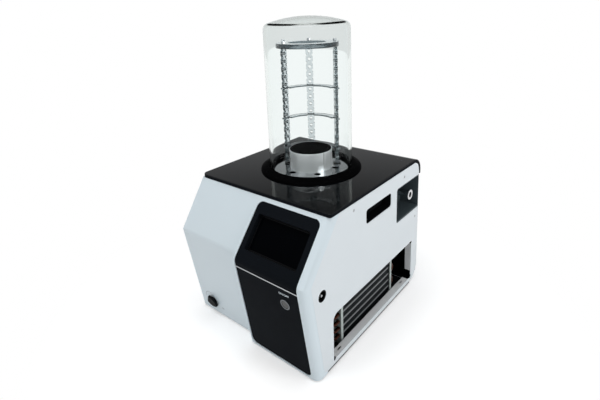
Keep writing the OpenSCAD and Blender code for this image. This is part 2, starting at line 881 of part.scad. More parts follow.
module button_bezel() {
    color("silver") difference() {
        union() {
            at_button(0) cylinder(r = button_ring_r, h = ring_rise);
            at_button(-barrel_l) cylinder(r = barrel_r, h = barrel_l);
        }
        at_button(-barrel_l - 1) cylinder(r = button_r + gap, h = barrel_l + ring_rise + 2);
    }
}

module switch_body() {
    color("#202326") difference() {
        at_button(-barrel_l - 16) cylinder(r = barrel_r, h = 16);
        at_button(-barrel_l - 2 - button_travel - 1) cylinder(r = spindle_r + gap, h = 10);
    }
}

module control_board() {
    z0 = board_bars[0] - 10;
    z1 = board_bars[1] + 22;
    color("darkgreen") {
        translate([board_x0, board_y, z0]) cube([board_w, 1.6, z1 - z0]);
        for (x = [board_x0 + 10, board_x0 + board_w - 10]) for (z = board_bars)
            translate([x, board_y + 1, z + 6]) rotate([-90, 0, 0])
                cylinder(r = 4, h = front_frame_y - board_y - 1);
        for (i = [0:2]) translate([board_x0 + 30 + i * 36, board_y - 12, z0 + 30]) cube([24, 12.5, 30]);
    }
}

module drain_knob() {
    half = [[-0.42, 11], [-0.1, 14], [0.2, 11.5], [0.4, 6.5], [0.52, 2.5]];
    color("#151515") on_left() translate([knob_x, -knob_s, 0]) {
        translate([0, 0, gap]) cylinder(r = 11, h = 5);
        translate([0, 0, gap + 3]) rotate(-knob_turn) linear_extrude(knob_h - 3 - gap) polygon([
            for (p = half) [p[0] * knob_l, -p[1]],
            for (i = [4:-1:0]) [half[i][0] * knob_l, half[i][1]]
        ]);
        translate([0, 0, -shell_t - 20]) cylinder(r = spindle_r, h = shell_t + 22);
    }
}

module drain_valve() {
    color("#b08d3c") on_left() translate([knob_x, -knob_s, -shell_t - valve_l]) difference() {
        cylinder(r = valve_r, h = valve_l);
        translate([0, 0, valve_l - 22]) cylinder(r = spindle_r + running, h = 30);
    }
}

module drain_pipe() {
    color("lightgray") pipe_run([
        [0, chamber_y, trap_floor_z + trap_wall], [0, chamber_y, drain_turn_z], [0, drain_y, drain_turn_z],
        [0, drain_y, drain_z], [knob_x + valve_r + seam_gap, drain_y, drain_z]
    ], drain_r, 12);
}

module port_recess() {
    back_x = half_w - pocket_depth - pocket_t;
    c = 0.4;
    e = c + pocket_t;
    color("#454b50") difference() {
        along_x(back_x, half_w - 0.4) difference() {
            rounded(pocket_y0 + c, pocket_low + c, panel_rear_y + 20, pocket_high - c, pocket_r);
            translate([panel_rear_y, 0]) square(cabinet_h);
        }
        along_x(back_x + pocket_t, half_w + 1) difference() {
            rounded(pocket_y0 + e, pocket_low + e + 2, panel_rear_y + 20, pocket_high - e, pocket_r - 2);
            translate([panel_rear_y - pocket_t, 0]) square(cabinet_h);
        }
        translate([back_x - 1, port_y, port_z]) rotate([0, 90, 0])
            cylinder(r = port_tube_r + gap, h = pocket_t + 2);
    }
}

// Where the vacuum tube ends, on the trap's wall
port_end_y = chamber_y + sqrt(pow(trap_out_r - 1, 2) - pow(pipe_end_x, 2));

// The way of the vacuum tube, longer by c at its ends
module port_way(r, c) {
    pipe_run([
        [port_face_x + c, port_y, port_z], [pipe_end_x, port_y, port_z], [pipe_end_x, port_end_y - c, port_z]
    ], r, pipe_bend);
}

module vacuum_port() {
    color("silver") difference() {
        union() {
            port_way(port_tube_r, 0);
            translate([port_face_x, port_y, port_z]) rotate([0, -90, 0]) {
                cylinder(r = port_flange_r, h = 3);
                translate([0, 0, 3]) cylinder(r1 = port_flange_r, r2 = port_tube_r, h = 4);
            }
        }
        port_way(port_bore_r, 1);
    }
}

// A hole for the vacuum tube, out to the distance far from the chamber's axis
module port_hole(far) {
    translate([pipe_end_x, chamber_y + 40, port_z]) rotate([-90, 0, 0])
        cylinder(r = port_tube_r + gap, h = far);
}

module gas_inlet_bush() {
    color("#121416") translate([half_w - 15, gas_y, gas_z]) rotate([0, 90, 0]) difference() {
        cylinder(r = gas_r, h = 15);
        translate([0, 0, 4]) cylinder(r = gas_r - 3, h = 20);
        translate([0, 0, -1]) cylinder(r = 3 + gap, h = 10);
    }
}

module gas_inlet_nozzle() {
    color("gray") translate([half_w - 15, gas_y, gas_z]) rotate([0, 90, 0]) {
        translate([0, 0, -14]) cylinder(r = 3, h = 27);
        translate([0, 0, 4]) cylinder(r = 5, h = 2, $fn = 6);
    }
}

module cold_trap() {
    color("silver") difference() {
        union() {
            at_chamber(trap_floor_z) cylinder(r = trap_out_r, h = trap_depth);
            at_chamber(skin_z - trap_flange_t) cylinder(r = trap_flange_r, h = trap_flange_t);
        }
        at_chamber(trap_floor_z + trap_wall) cylinder(r = trap_r, h = trap_depth);
        at_chamber(trap_floor_z - 1) cylinder(r = drain_r + gap, h = trap_wall + 2);
        port_hole(trap_out_r);
    }
}

// Angle at which the vacuum tube passes the coil, and the coil's start, half a pitch below it there
pass_angle = acos(pipe_end_x / coil_r);
coil_start = -180;
coil_z0 = port_z - coil_pitch / 2 - coil_pitch * (pass_angle - coil_start) / 360;

// A point of the coil's tube: step i along it, corner j round it
function coil_point(i, j) =
    let (
        t = coil_start + i * 360 / coil_steps,
        w = j * 360 / coil_sides,
        r = (coil_r + coil_tube_r * cos(w)) * coil_out
    )
    [r * cos(t), chamber_y + r * sin(t), coil_z0 + coil_pitch * i / coil_steps + coil_tube_r * sin(w)];

module evaporator_coil() {
    n = floor(coil_turns * coil_steps);
    sides = [0:coil_sides - 1];
    points = [for (i = [0:n]) for (j = sides) coil_point(i, j)];
    skin = [for (i = [0:n - 1]) for (j = sides)
        let (k = (j + 1) % coil_sides, p = i * coil_sides, q = p + coil_sides) [p + j, q + j, q + k, p + k]];
    start = [for (j = sides) j];
    end = [for (j = sides) n * coil_sides + coil_sides - 1 - j];
    color("#b87333") polyhedron(points, concat(skin, [start, end]));
}

module trap_insulation() {
    color("#3a3d40") difference() {
        at_chamber(foam_low_z) cylinder(r = foam_out_r, h = foam_top_z - foam_low_z);
        at_chamber(trap_floor_z) cylinder(r = foam_in_r, h = cabinet_h);
        at_chamber(foam_low_z - 1) cylinder(r = drain_r + gap, h = 20);
        translate([-coil_r, chamber_y, foam_low_z - 1]) cylinder(r = coil_tube_r + gap / 2, h = 20);
        port_hole(foam_out_r);
    }
}

module suction_line() {
    low = compressor_z + compressor_h;
    color("#b87333") translate([-coil_r, chamber_y, low])
        cylinder(r = coil_tube_r, h = coil_z0 - coil_tube_r - gap - low);
}

// Height of the compressor's domed shell at the distance d from its axis
function dome_z(d) =
    compressor_z + compressor_h - dome_r + sqrt(pow(dome_r, 2) - pow(d - compressor_r + dome_r, 2));

module discharge_line() {
    x = compressor_x + dome_r;
    tail = condenser_y1 + 30;
    start = ceil(10 * (dome_z(dome_r - 4) + gap)) / 10;
    rise = compressor_z + compressor_h + 18;
    top = row_zs[condenser_rows - 1];
    color("#b87333") pipe_run([
        [x, compressor_y, start], [x, compressor_y, rise], [x, tail, rise],
        [tube_xs[0], tail, rise], [tube_xs[0], tail, top], [tube_xs[0], condenser_y1 + 10.5, top]
    ], 4, 12);
}

module compressor_shell() {
    color("#1b1d1f") translate([compressor_x, compressor_y, compressor_z]) rotate_extrude() {
        square([compressor_r, compressor_h - dome_r]);
        square([compressor_r - dome_r, compressor_h]);
        intersection() {
            translate([compressor_r - dome_r, compressor_h - dome_r]) circle(dome_r);
            square([compressor_r, compressor_h]);
        }
    }
}

// The four feet of the compressor
module at_mounts() {
    for (x = [-1, 1]) for (y = [-1, 1])
        translate([compressor_x + x * (compressor_r - 4), compressor_y + y * (compressor_r - 16)]) children();
}

module compressor_base() {
    color("#1b1d1f") along_z(floor_z + mount_h, compressor_z) difference() {
        translate([compressor_x, compressor_y])
            rounded(-compressor_r - 8, -compressor_r + 4, compressor_r + 8, compressor_r - 4, 12);
        at_mounts() circle(4);
    }
}

module compressor_mounts() {
    color("#151515") along_z(floor_z, floor_z + mount_h) at_mounts() circle(9);
}

module tube_holes(r) { for (x = tube_xs) for (z = row_zs) translate([x, z]) circle(r); }

// Outline [y, z] across the condenser with its tube holes, taken in by c at its edges
module condenser_section(c, low) {
    difference() {
        translate([condenser_in_x + c, low])
            square([condenser_out_x - condenser_in_x - 3 * c, condenser_top - c - low]);
        tube_holes(tube_r + gap);
    }
}

module condenser_end_plates() {
    color("lightgray") for (end = [0, 1]) {
        y = end == 0 ? condenser_y0 - plate_t : condenser_y1;
        along_y(y, y + plate_t) condenser_section(0, floor_z);
        translate([condenser_out_x - 1.5, end == 0 ? y : y - 7, floor_z])
            cube([1.5, 9, condenser_top - floor_z]);
    }
}

module condenser_fins() {
    pitch = condenser_l / fin_count;
    color("darkgray") for (i = [0:fin_count - 1])
        along_y(condenser_y0 + (i + 0.5) * pitch - 0.5, condenser_y0 + (i + 0.5) * pitch + 0.5)
            condenser_section(2, condenser_z0 - 16);
}

module condenser_tubes() {
    y0 = condenser_y0 - hairpin_run;
    y1 = condenser_y1 + 8;
    half = (tube_xs[1] - tube_xs[0]) / 2;
    color("#b87333") {
        for (x = tube_xs) for (z = row_zs) bar_between([x, y0, z], [x, y1, z], tube_r);
        for (z = row_zs) translate([tube_xs[0] + half, y0, z]) rotate([0, 0, 180])
            rotate_extrude(angle = 180) translate([half, 0]) circle(tube_r);
        for (i = [0:condenser_rows - 2])
            translate([tube_xs[(i + 1) % 2], y1, row_zs[i] + condenser_pitch / 2]) rotate([0, -90, 0])
                rotate_extrude(angle = 180) translate([condenser_pitch / 2, 0]) circle(tube_r);
    }
}

// Parts of the fan lie along X at the fan's axis
module at_fan(x) { translate([x, fan_y, fan_z]) rotate([0, 90, 0]) children(); }

module fan_shroud() {
    color("#202326") {
        difference() {
            union() {
                along_x(shroud_x, shroud_x + 2) translate([condenser_y0 - plate_t, floor_z])
                    square([condenser_l + 2 * plate_t, condenser_top - floor_z]);
                at_fan(spider_x) cylinder(r = duct_r + duct_t, h = shroud_x - spider_x + 1);
            }
            at_fan(spider_x - 1) cylinder(r = duct_r, h = shroud_x - spider_x + 4);
        }
        difference() {
            at_fan(spider_x) {
                cylinder(r = motor_r, h = 4);
                for (i = [0:2]) rotate(i * 120) translate([0, -5, 0]) cube([duct_r + 1, 10, 4]);
            }
            at_fan(spider_x - 1) cylinder(r = shaft_r + gap, h = 6);
        }
    }
}

module condenser_fan() {
    color("#2b2e31") {
        at_fan(fan_x0) cylinder(r = hub_r, h = fan_w);
        at_fan(spider_x - 20) cylinder(r = shaft_r, h = 20 + fan_x0 - spider_x + 1);
        intersection() {
            for (i = [0:fan_blades - 1]) at_fan(fan_x0 + fan_w / 2) rotate(i * 360 / fan_blades)
                rotate([35, 0, 0]) translate([hub_r - 4, -14, -1]) cube([fan_r, 28, 2]);
            at_fan(fan_x0) cylinder(r = fan_r, h = fan_w);
        }
    }
}

module fan_motor() {
    color("#3a3d40") difference() {
        at_fan(spider_x - motor_l) cylinder(r = motor_r, h = motor_l);
        at_fan(spider_x - 22) cylinder(r = shaft_r + running, h = 24);
    }
}

module sealing_ring() {
    lip_r = jar_r + 1;
    lip_z = ring_seat + 3;
    round_r = 5;
    shoulder = [ring_r - round_r, 1];
    color("#0d0e10") at_chamber(cabinet_h) rotate_extrude() difference() {
        translate([ring_bore_r, 0]) square([ring_r - ring_bore_r, lip_z]);
        translate([0, ring_seat]) square([lip_r, lip_z]);
        polygon([
            [lip_r + 6, lip_z + 1], [lip_r + 6, lip_z], shoulder + [0, round_r],
            [ring_r + 1, shoulder[1] + round_r], [ring_r + 1, lip_z + 1]
        ]);
        difference() {
            translate(shoulder) square(round_r + 1);
            translate(shoulder) circle(round_r);
        }
    }
}

module baffle_disc() {
    color("silver") at_chamber(disc_z) linear_extrude(disc_t) difference() {
        circle(disc_r);
        circle(draft_r - 5);
        for (i = [0:vapour_holes - 1]) rotate(22 + i * 360 / vapour_holes)
            translate([vapour_circle_r, 0]) circle(vapour_hole_r);
    }
}

module draft_tube() {
    color("silver") at_chamber(disc_top) rotate_extrude() {
        translate([draft_r - 1.5, 0]) square([1.5, draft_h]);
        translate([draft_r - 4.5, 0]) square([4.5, 1.5]);
        translate([draft_r - 1, draft_h - 1]) circle(1.4);
    }
}

// One post of the rack: a pierced plate with scalloped edges, slotted from outside for the shelves
module rack_post(angle) {
    color("lightcyan") at_chamber(disc_top) rotate(angle) difference() {
        union() {
            translate([post_in_r, -post_w / 2, 0]) cube([post_t, post_w, rack_top_z - disc_top]);
            translate([post_mid_r, 0, 0]) cylinder(r = post_foot_r, h = post_foot_h);
        }
        for (z = shelf_zs) translate([post_mid_r, -post_w, z - disc_top])
            cube([post_t + 8, 2 * post_w, shelf_t + seam_gap]);
        for (z = [post_hole_z:post_step:rack_h - 10]) {
            post_bore(0, z);
            for (side = [-1, 1]) post_bore(side * (post_w / 2 + 1.5), z + post_step / 2);
        }
    }
}
module post_bore(y, z) {
    translate([0, y, z]) rotate([0, 90, 0]) cylinder(r = post_hole_r, h = shelf_r + 10);
}
module rack_post_left() { rack_post(post_angles[0]); }
module rack_post_right() { rack_post(post_angles[1]); }
module rack_post_rear() { rack_post(post_angles[2]); }

// A shelf ring, open from the left to the right post and notched from inside for all three
module shelf_ring(i) {
    open_from = post_angles[0] + 8;
    open_to = post_angles[1] - 8;
    step = (open_to - open_from) / 6;
    color("lightcyan") at_chamber(shelf_zs[i]) linear_extrude(shelf_t) difference() {
        circle(shelf_r);
        circle(shelf_r - shelf_w);
        polygon([
            [0, 0],
            for (k = [0:6]) let (a = open_from + k * step) 2 * shelf_r * [cos(a), sin(a)]
        ]);
        for (t = post_angles) rotate(t) translate([0, -post_w / 2 - 0.15]) square([post_mid_r, post_w + 0.3]);
    }
}
module shelf_ring_lower() { shelf_ring(0); }
module shelf_ring_middle() { shelf_ring(1); }
module shelf_ring_upper() { shelf_ring(2); }

module rack_top_plate() {
    color("lightcyan") at_chamber(rack_top_z) linear_extrude(rack_top_t) difference() {
        circle(shelf_r);
        circle(shelf_r - shelf_w - 14);
    }
}

module rack_nuts() {
    color("silver") at_chamber(rack_top_z + rack_top_t) for (t = post_angles)
        rotate(t) translate([post_mid_r, 0, 0]) {
            cylinder(r = nut_r, h = 5, $fn = 6);
            cylinder(r = nut_r - 1.5, h = 7);
        }
}

// Half section [r, z] of the bell jar, with its surfaces moved inwards by g
module jar_section(g) {
    run = jar_r - jar_shoulder_r;
    dome = (run * run + jar_rise * jar_rise) / (2 * jar_rise);
    middle_z = jar_h - dome;
    shoulder = [run, middle_z + sqrt(pow(dome - jar_shoulder_r, 2) - run * run)];
    lean = atan2(run, shoulder[1] - middle_z);
    square([jar_r - g, shoulder[1]]);
    translate(shoulder) intersection() {
        circle(jar_shoulder_r - g);
        square(jar_shoulder_r);
    }
    intersection() {
        translate([0, middle_z]) circle(dome - g, $fn = 360);
        polygon([
            [0, 0], [run, 0], shoulder,
            shoulder + 2 * jar_shoulder_r * [sin(lean), cos(lean)], [0, jar_h + 20]
        ]);
    }
}

module bell_jar() {
    color("azure") at_chamber(jar_z) rotate_extrude() difference() {
        jar_section(0);
        jar_section(jar_wall);
    }
}

module power_inlet() {
    middle = [inlet_x + inlet_w / 2, inlet_z + inlet_h / 2];
    color("#151515") difference() {
        union() {
            translate([inlet_x + gap, rear_in_y - 22, inlet_z + gap])
                cube([inlet_w - 2 * gap, 22 + sheet_t, inlet_h - 2 * gap]);
            along_y(panel_rear_y, panel_rear_y + 3)
                rounded(inlet_x - 12, inlet_z - 7, inlet_x + inlet_w + 12, inlet_z + inlet_h + 7, 4);
        }
        along_y(panel_rear_y - 14, panel_rear_y + 4) translate(middle) square([24, 16.5], center = true);
    }
    color("#151515") for (pin = [[-7, -1.5], [0, 1.5], [7, -1.5]])
        translate([middle[0] + pin[0] - 1, panel_rear_y - 15, middle[1] + pin[1] - 1.5]) cube([2, 13, 3]);
}

base_plate();
rubber_feet();
front_fascia();
side_panel_right();
window_strips();
side_panel_left();
rear_panel();
top_cover();
front_frame();
rear_frame();
side_screws();
carry_cup_right();
carry_cup_left();
upper_control_panel();
trim_strip();
lower_control_panel();
touch_screen();
screen_bezel();
power_button();
button_bezel();
switch_body();
control_board();
drain_knob();
drain_valve();
drain_pipe();
port_recess();
vacuum_port();
gas_inlet_bush();
gas_inlet_nozzle();
cold_trap();
evaporator_coil();
trap_insulation();
suction_line();
discharge_line();
compressor_shell();
compressor_base();
compressor_mounts();
condenser_end_plates();
condenser_fins();
condenser_tubes();
fan_shroud();
condenser_fan();
fan_motor();
sealing_ring();
baffle_disc();
draft_tube();
rack_post_left();
rack_post_right();
rack_post_rear();
shelf_ring_lower();
shelf_ring_middle();
shelf_ring_upper();
rack_top_plate();
rack_nuts();
bell_jar();
power_inlet();
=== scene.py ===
"""Looks of a bench-top freeze dryer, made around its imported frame.

Metres. X points right as the user faces the control panel, Y to the rear and Z up, with the floor at zero.
Each sub-assembly is a class: its fields hold its sizes, and its build method makes and dresses its pieces.
"""

import json
import logging
import math
from dataclasses import dataclass
from enum import Enum
from typing import Any, Callable, Sequence

import bmesh
import bpy
from mathutils import Matrix, Vector


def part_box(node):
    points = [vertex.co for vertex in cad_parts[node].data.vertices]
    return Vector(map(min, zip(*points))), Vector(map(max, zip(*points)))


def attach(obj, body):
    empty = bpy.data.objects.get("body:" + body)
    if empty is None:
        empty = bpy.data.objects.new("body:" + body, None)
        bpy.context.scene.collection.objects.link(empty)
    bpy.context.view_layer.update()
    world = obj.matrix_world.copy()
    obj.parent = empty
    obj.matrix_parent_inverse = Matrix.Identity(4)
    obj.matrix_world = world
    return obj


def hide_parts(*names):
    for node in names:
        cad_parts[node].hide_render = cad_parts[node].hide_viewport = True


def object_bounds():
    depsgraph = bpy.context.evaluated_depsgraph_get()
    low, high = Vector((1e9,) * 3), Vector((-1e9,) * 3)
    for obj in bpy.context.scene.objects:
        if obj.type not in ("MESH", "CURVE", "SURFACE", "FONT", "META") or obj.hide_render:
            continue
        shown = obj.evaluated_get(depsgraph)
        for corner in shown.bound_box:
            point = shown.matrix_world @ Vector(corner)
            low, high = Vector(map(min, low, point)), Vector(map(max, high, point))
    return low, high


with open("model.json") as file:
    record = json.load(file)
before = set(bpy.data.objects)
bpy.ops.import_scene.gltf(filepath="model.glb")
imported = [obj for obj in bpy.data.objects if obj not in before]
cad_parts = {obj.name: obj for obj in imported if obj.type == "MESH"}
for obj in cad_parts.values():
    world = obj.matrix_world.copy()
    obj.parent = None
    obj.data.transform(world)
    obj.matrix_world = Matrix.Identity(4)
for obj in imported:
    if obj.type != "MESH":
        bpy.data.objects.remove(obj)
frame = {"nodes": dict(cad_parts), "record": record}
CAD_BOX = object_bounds()
LOG = logging.getLogger("freeze_dryer")
CABINET = "cabinet"

Point = tuple[float, float]
Triple = tuple[float, float, float]
Colour = tuple[float, float, float, float]
Piece = bpy.types.Object
Socket = bpy.types.NodeSocket

WHITE: Colour = (1.0, 1.0, 1.0, 1.0)
BYTE_MAX = 255
# A screen's brightness curve: the end and slope of its straight foot, and the curve's lift and power.
FOOT_END, FOOT_SLOPE, CURVE_LIFT, CURVE_POWER = 0.04045, 12.92, 0.055, 2.4
# Layers of finer noise in a finish's colour, gloss and grain, and how fast the layers fade.
TINT_DETAIL, GLOSS_DETAIL, GRAIN_DETAIL, NOISE_FADE = 3, 4, 2, 0.6
# Gloss patches across a colour patch, the span of noise that gloss follows, and a grain over its height.
GLOSS_PATCHES, GLOSS_SPAN, GRAIN_RATIO = 3, (0.3, 0.7), 4
# Degrees below which an edge is smooth, and below which two faces become one.
EDGE_ANGLE, FLAT_ANGLE = 35.0, 0.6
# How near corners lie that become one: in a node's copy, in a drawn mesh, and across a rounded edge.
COPY_REACH, DRAWN_REACH, ROUNDED_REACH = 2e-6, 1e-7, 4e-6
# How strongly large faces lead the shading across a rounded edge, in percent.
FACE_BIAS = 80
# Printed marks: their depth, how far their middle lies above the face, and their type's size and spacing.
PRINT_DEPTH, PRINT_RISE, TYPE_RATIO, TYPE_SPACING = 0.00012, 0.00003, 1.4, 1.05
# Lines of corners across a rippled plate.
RIPPLE_LINES = 13
# A face looks inwards where its normal's share of the outward direction is below this.
INWARD = -0.3


class Slot(Enum):
    """The record's material slots."""

    WHITE_SHEET = "white_sheet"
    WHITE_MOULDING = "white_moulding"
    BLACK_COVER = "black_cover"
    BLACK_PANEL = "black_panel"
    BLACK_SHEET = "black_sheet"
    MATTE_BLACK = "matte_black"
    GREY_PLASTIC = "grey_plastic"
    DISPLAY_GLASS = "display_glass"
    RUBBER = "rubber"
    STEEL = "steel"
    POLISHED_STEEL = "polished_steel"
    GALVANISED = "galvanised"
    FIN_ALUMINIUM = "fin_aluminium"
    BRIGHT_STRIP = "bright_strip"
    COPPER = "copper"
    BRASS = "brass"
    IRON = "iron"
    FOAM = "foam"
    BOARD = "board"
    HOSE = "hose"
    CLEAR_JAR = "clear_jar"
    CLEAR_RACK = "clear_rack"


class Grain(Enum):
    """Which way a surface's fine pattern is drawn out, as scales along X, Y and Z."""

    EVEN = (1.0, 1.0, 1.0)
    ALONG_X = (0.02, 1.0, 1.0)
    ALONG_Y = (1.0, 0.02, 1.0)
    ALONG_Z = (1.0, 1.0, 0.02)


def paint(code: str, gain: float = 1.0) -> Colour:
    """Turns a screen colour into a linear one.

    Args:
        code: The colour as six hexadecimal digits.
        gain: A factor on its brightness.

    Returns:
        Red, green, blue and an alpha of one.
    """
    levels = [int(code[i:i + 2], 16) / BYTE_MAX for i in (0, 2, 4)]
    linear = [c / FOOT_SLOPE if c <= FOOT_END else ((c + CURVE_LIFT) / (1 + CURVE_LIFT)) ** CURVE_POWER
              for c in levels]
    return (*[min(1.0, gain * c) for c in linear], 1.0)


class Graph:
    """A node tree that is written as nested calls."""

    def __init__(self, tree: bpy.types.NodeTree) -> None:
        """Starts the tree empty."""
        self.tree = tree
        tree.nodes.clear()

    def add(self, kind: str, inputs: dict[Any, Any] | None = None, **settings: Any) -> bpy.types.Node:
        """Adds a node.

        Args:
            kind: The node's type.
            inputs: Values for its sockets by name or number, where a socket as a value is linked.
            settings: Values for its properties.

        Returns:
            The new node.
        """
        node = self.tree.nodes.new(kind)
        for key, value in settings.items():
            setattr(node, key, value)
        for key, value in (inputs or {}).items():
            if isinstance(value, Socket):
                self.tree.links.new(value, node.inputs[key])
            else:
                node.inputs[key].default_value = value
        return node

    def maths(self, operation: str, first: Any, second: Any = 0.0) -> Socket:
        """One step of arithmetic, as its output socket."""
        return self.add("ShaderNodeMath", {0: first, 1: second}, operation=operation).outputs[0]

    def mix(self, share: Socket, first: Any, second: Any) -> Socket:
        """A colour between two others, as its output socket."""
        return self.add("ShaderNodeMix", {0: share, 6: first, 7: second}, data_type="RGBA").outputs[2]


@dataclass(frozen=True)
class Finish:
    """A surface finish with wandering colour, uneven gloss and fine grain.

    Patch and grain are sizes in metres. Mottle and unevenness are swings of the colour and the roughness,
    and depth is the strength of the grain.
    """

    slot: Slot
    colour: str
    roughness: float
    metallic: float = 0.0
    specular: float = 0.5
    ior: float = 1.5
    mottle: float = 0.03
    patch: float = 0.09
    grain: float = 0.0009
    depth: float = 0.05
    unevenness: float = 0.05
    run: Grain = Grain.EVEN
    title: str = ""

    def noise(self, graph: Graph, size: float, detail: float, run: Grain) -> Socket:
        """Noise on the piece's own coordinates.

        Args:
            graph: The tree to add to.
            size: The size of its patches in metres.
            detail: How many finer layers it has.
            run: The way it is drawn out.

        Returns:
            A socket from zero to one.
        """
        place = graph.add("ShaderNodeTexCoord").outputs["Object"]
        turned = graph.add("ShaderNodeMapping", {"Vector": place, "Scale": run.value})
        return graph.add("ShaderNodeTexNoise", {
            "Vector": turned.outputs[0], "Scale": 1 / size, "Detail": detail, "Roughness": NOISE_FADE,
        }).outputs["Fac"]

    def tint(self, graph: Graph) -> Socket:
        """The wandering base colour.

        Args:
            graph: The tree to add to.

        Returns:
            The colour's socket.
        """
        fac = self.noise(graph, self.patch, TINT_DETAIL, Grain.EVEN)
        return graph.mix(fac, paint(self.colour, 1 - self.mottle), paint(self.colour, 1 + self.mottle))

    def gloss(self, graph: Graph) -> Socket:
        """The uneven roughness.

        Args:
            graph: The tree to add to.

        Returns:
            The roughness's socket.
        """
        fac = self.noise(graph, self.patch / GLOSS_PATCHES, GLOSS_DETAIL, self.run)
        low, high = max(0.0, self.roughness - self.unevenness), self.roughness + self.unevenness
        span = {0: fac, 1: GLOSS_SPAN[0], 2: GLOSS_SPAN[1], 3: low, 4: high}
        return graph.add("ShaderNodeMapRange", span).outputs[0]

    def relief(self, graph: Graph) -> Socket:
        """The normal, roughened by the grain.

        Args:
            graph: The tree to add to.

        Returns:
            The normal's socket.
        """
        height = self.noise(graph, self.grain, GRAIN_DETAIL, self.run)
        bump = {"Height": height, "Strength": self.depth, "Distance": self.grain / GRAIN_RATIO}
        return graph.add("ShaderNodeBump", bump).outputs[0]

    def surface(self, graph: Graph) -> Socket:
        """The shader of the surface.

        Args:
            graph: The tree to add to.

        Returns:
            The shader's socket.
        """
        inputs = {
            "Base Color": self.tint(graph), "Roughness": self.gloss(graph), "Normal": self.relief(graph),
            "Metallic": self.metallic, "Specular IOR Level": self.specular, "IOR": self.ior,
        }
        return graph.add("ShaderNodeBsdfPrincipled", inputs).outputs[0]

    def build(self) -> bpy.types.Material:
        """The finish as a material, named for its slot or by its own title.

        Returns:
            The new material.
        """
        material = bpy.data.materials.new(self.title or self.slot.value)
        material.use_nodes = True
        graph = Graph(material.node_tree)
        graph.add("ShaderNodeOutputMaterial", {"Surface": self.surface(graph)})
        return material


@dataclass(frozen=True)
class ClearFinish(Finish):
    """Clear acrylic: it bends light, takes a little of it along the way and lets lamps through."""

    density: float = 9.0
    stain: str = "dfe8e4"
    shade: str = "f9fbfa"

    def surface(self, graph: Graph) -> Socket:
        """The shader of the surface.

        Args:
            graph: The tree to add to.

        Returns:
            The shader's socket.
        """
        clear = graph.add("ShaderNodeBsdfPrincipled", {
            "Base Color": self.tint(graph), "Roughness": self.roughness, "IOR": self.ior,
            "Transmission Weight": 1.0, "Specular IOR Level": self.specular,
            "Normal": self.relief(graph)}).outputs[0]
        through = graph.add("ShaderNodeBsdfTransparent", {"Color": paint(self.shade)}).outputs[0]
        path = graph.add("ShaderNodeLightPath").outputs["Is Shadow Ray"]
        return graph.add("ShaderNodeMixShader", {0: path, 1: clear, 2: through}).outputs[0]

    def build(self) -> bpy.types.Material:
        """The finish as a material, with the absorption inside it.

        Returns:
            The new material.
        """
        material = Finish.build(self)
        tree = material.node_tree
        volume = tree.nodes.new("ShaderNodeVolumeAbsorption")
        volume.inputs["Color"].default_value = paint(self.stain)
        volume.inputs["Density"].default_value = self.density
        tree.links.new(volume.outputs[0], tree.nodes["Material Output"].inputs["Volume"])
        return material


@dataclass(frozen=True)
class TubeFinish(Finish):
    """Copper at its bends and dull grey along the straight runs between the plates."""

    dull: str = "75787a"
    bends: tuple[float, float] = (-0.112, 0.146)

    def tint(self, graph: Graph) -> Socket:
        """The wandering base colour, which turns grey between the end plates.

        Args:
            graph: The tree to add to.

        Returns:
            The colour's socket.
        """
        bright = Finish.tint(self, graph)
        place = graph.add("ShaderNodeTexCoord").outputs["Object"]
        y = graph.add("ShaderNodeSeparateXYZ", {0: place}).outputs[1]
        inside = graph.maths("MULTIPLY", graph.maths("GREATER_THAN", y, self.bends[0]),
                             graph.maths("LESS_THAN", y, self.bends[1]))
        return graph.mix(inside, bright, paint(self.dull))


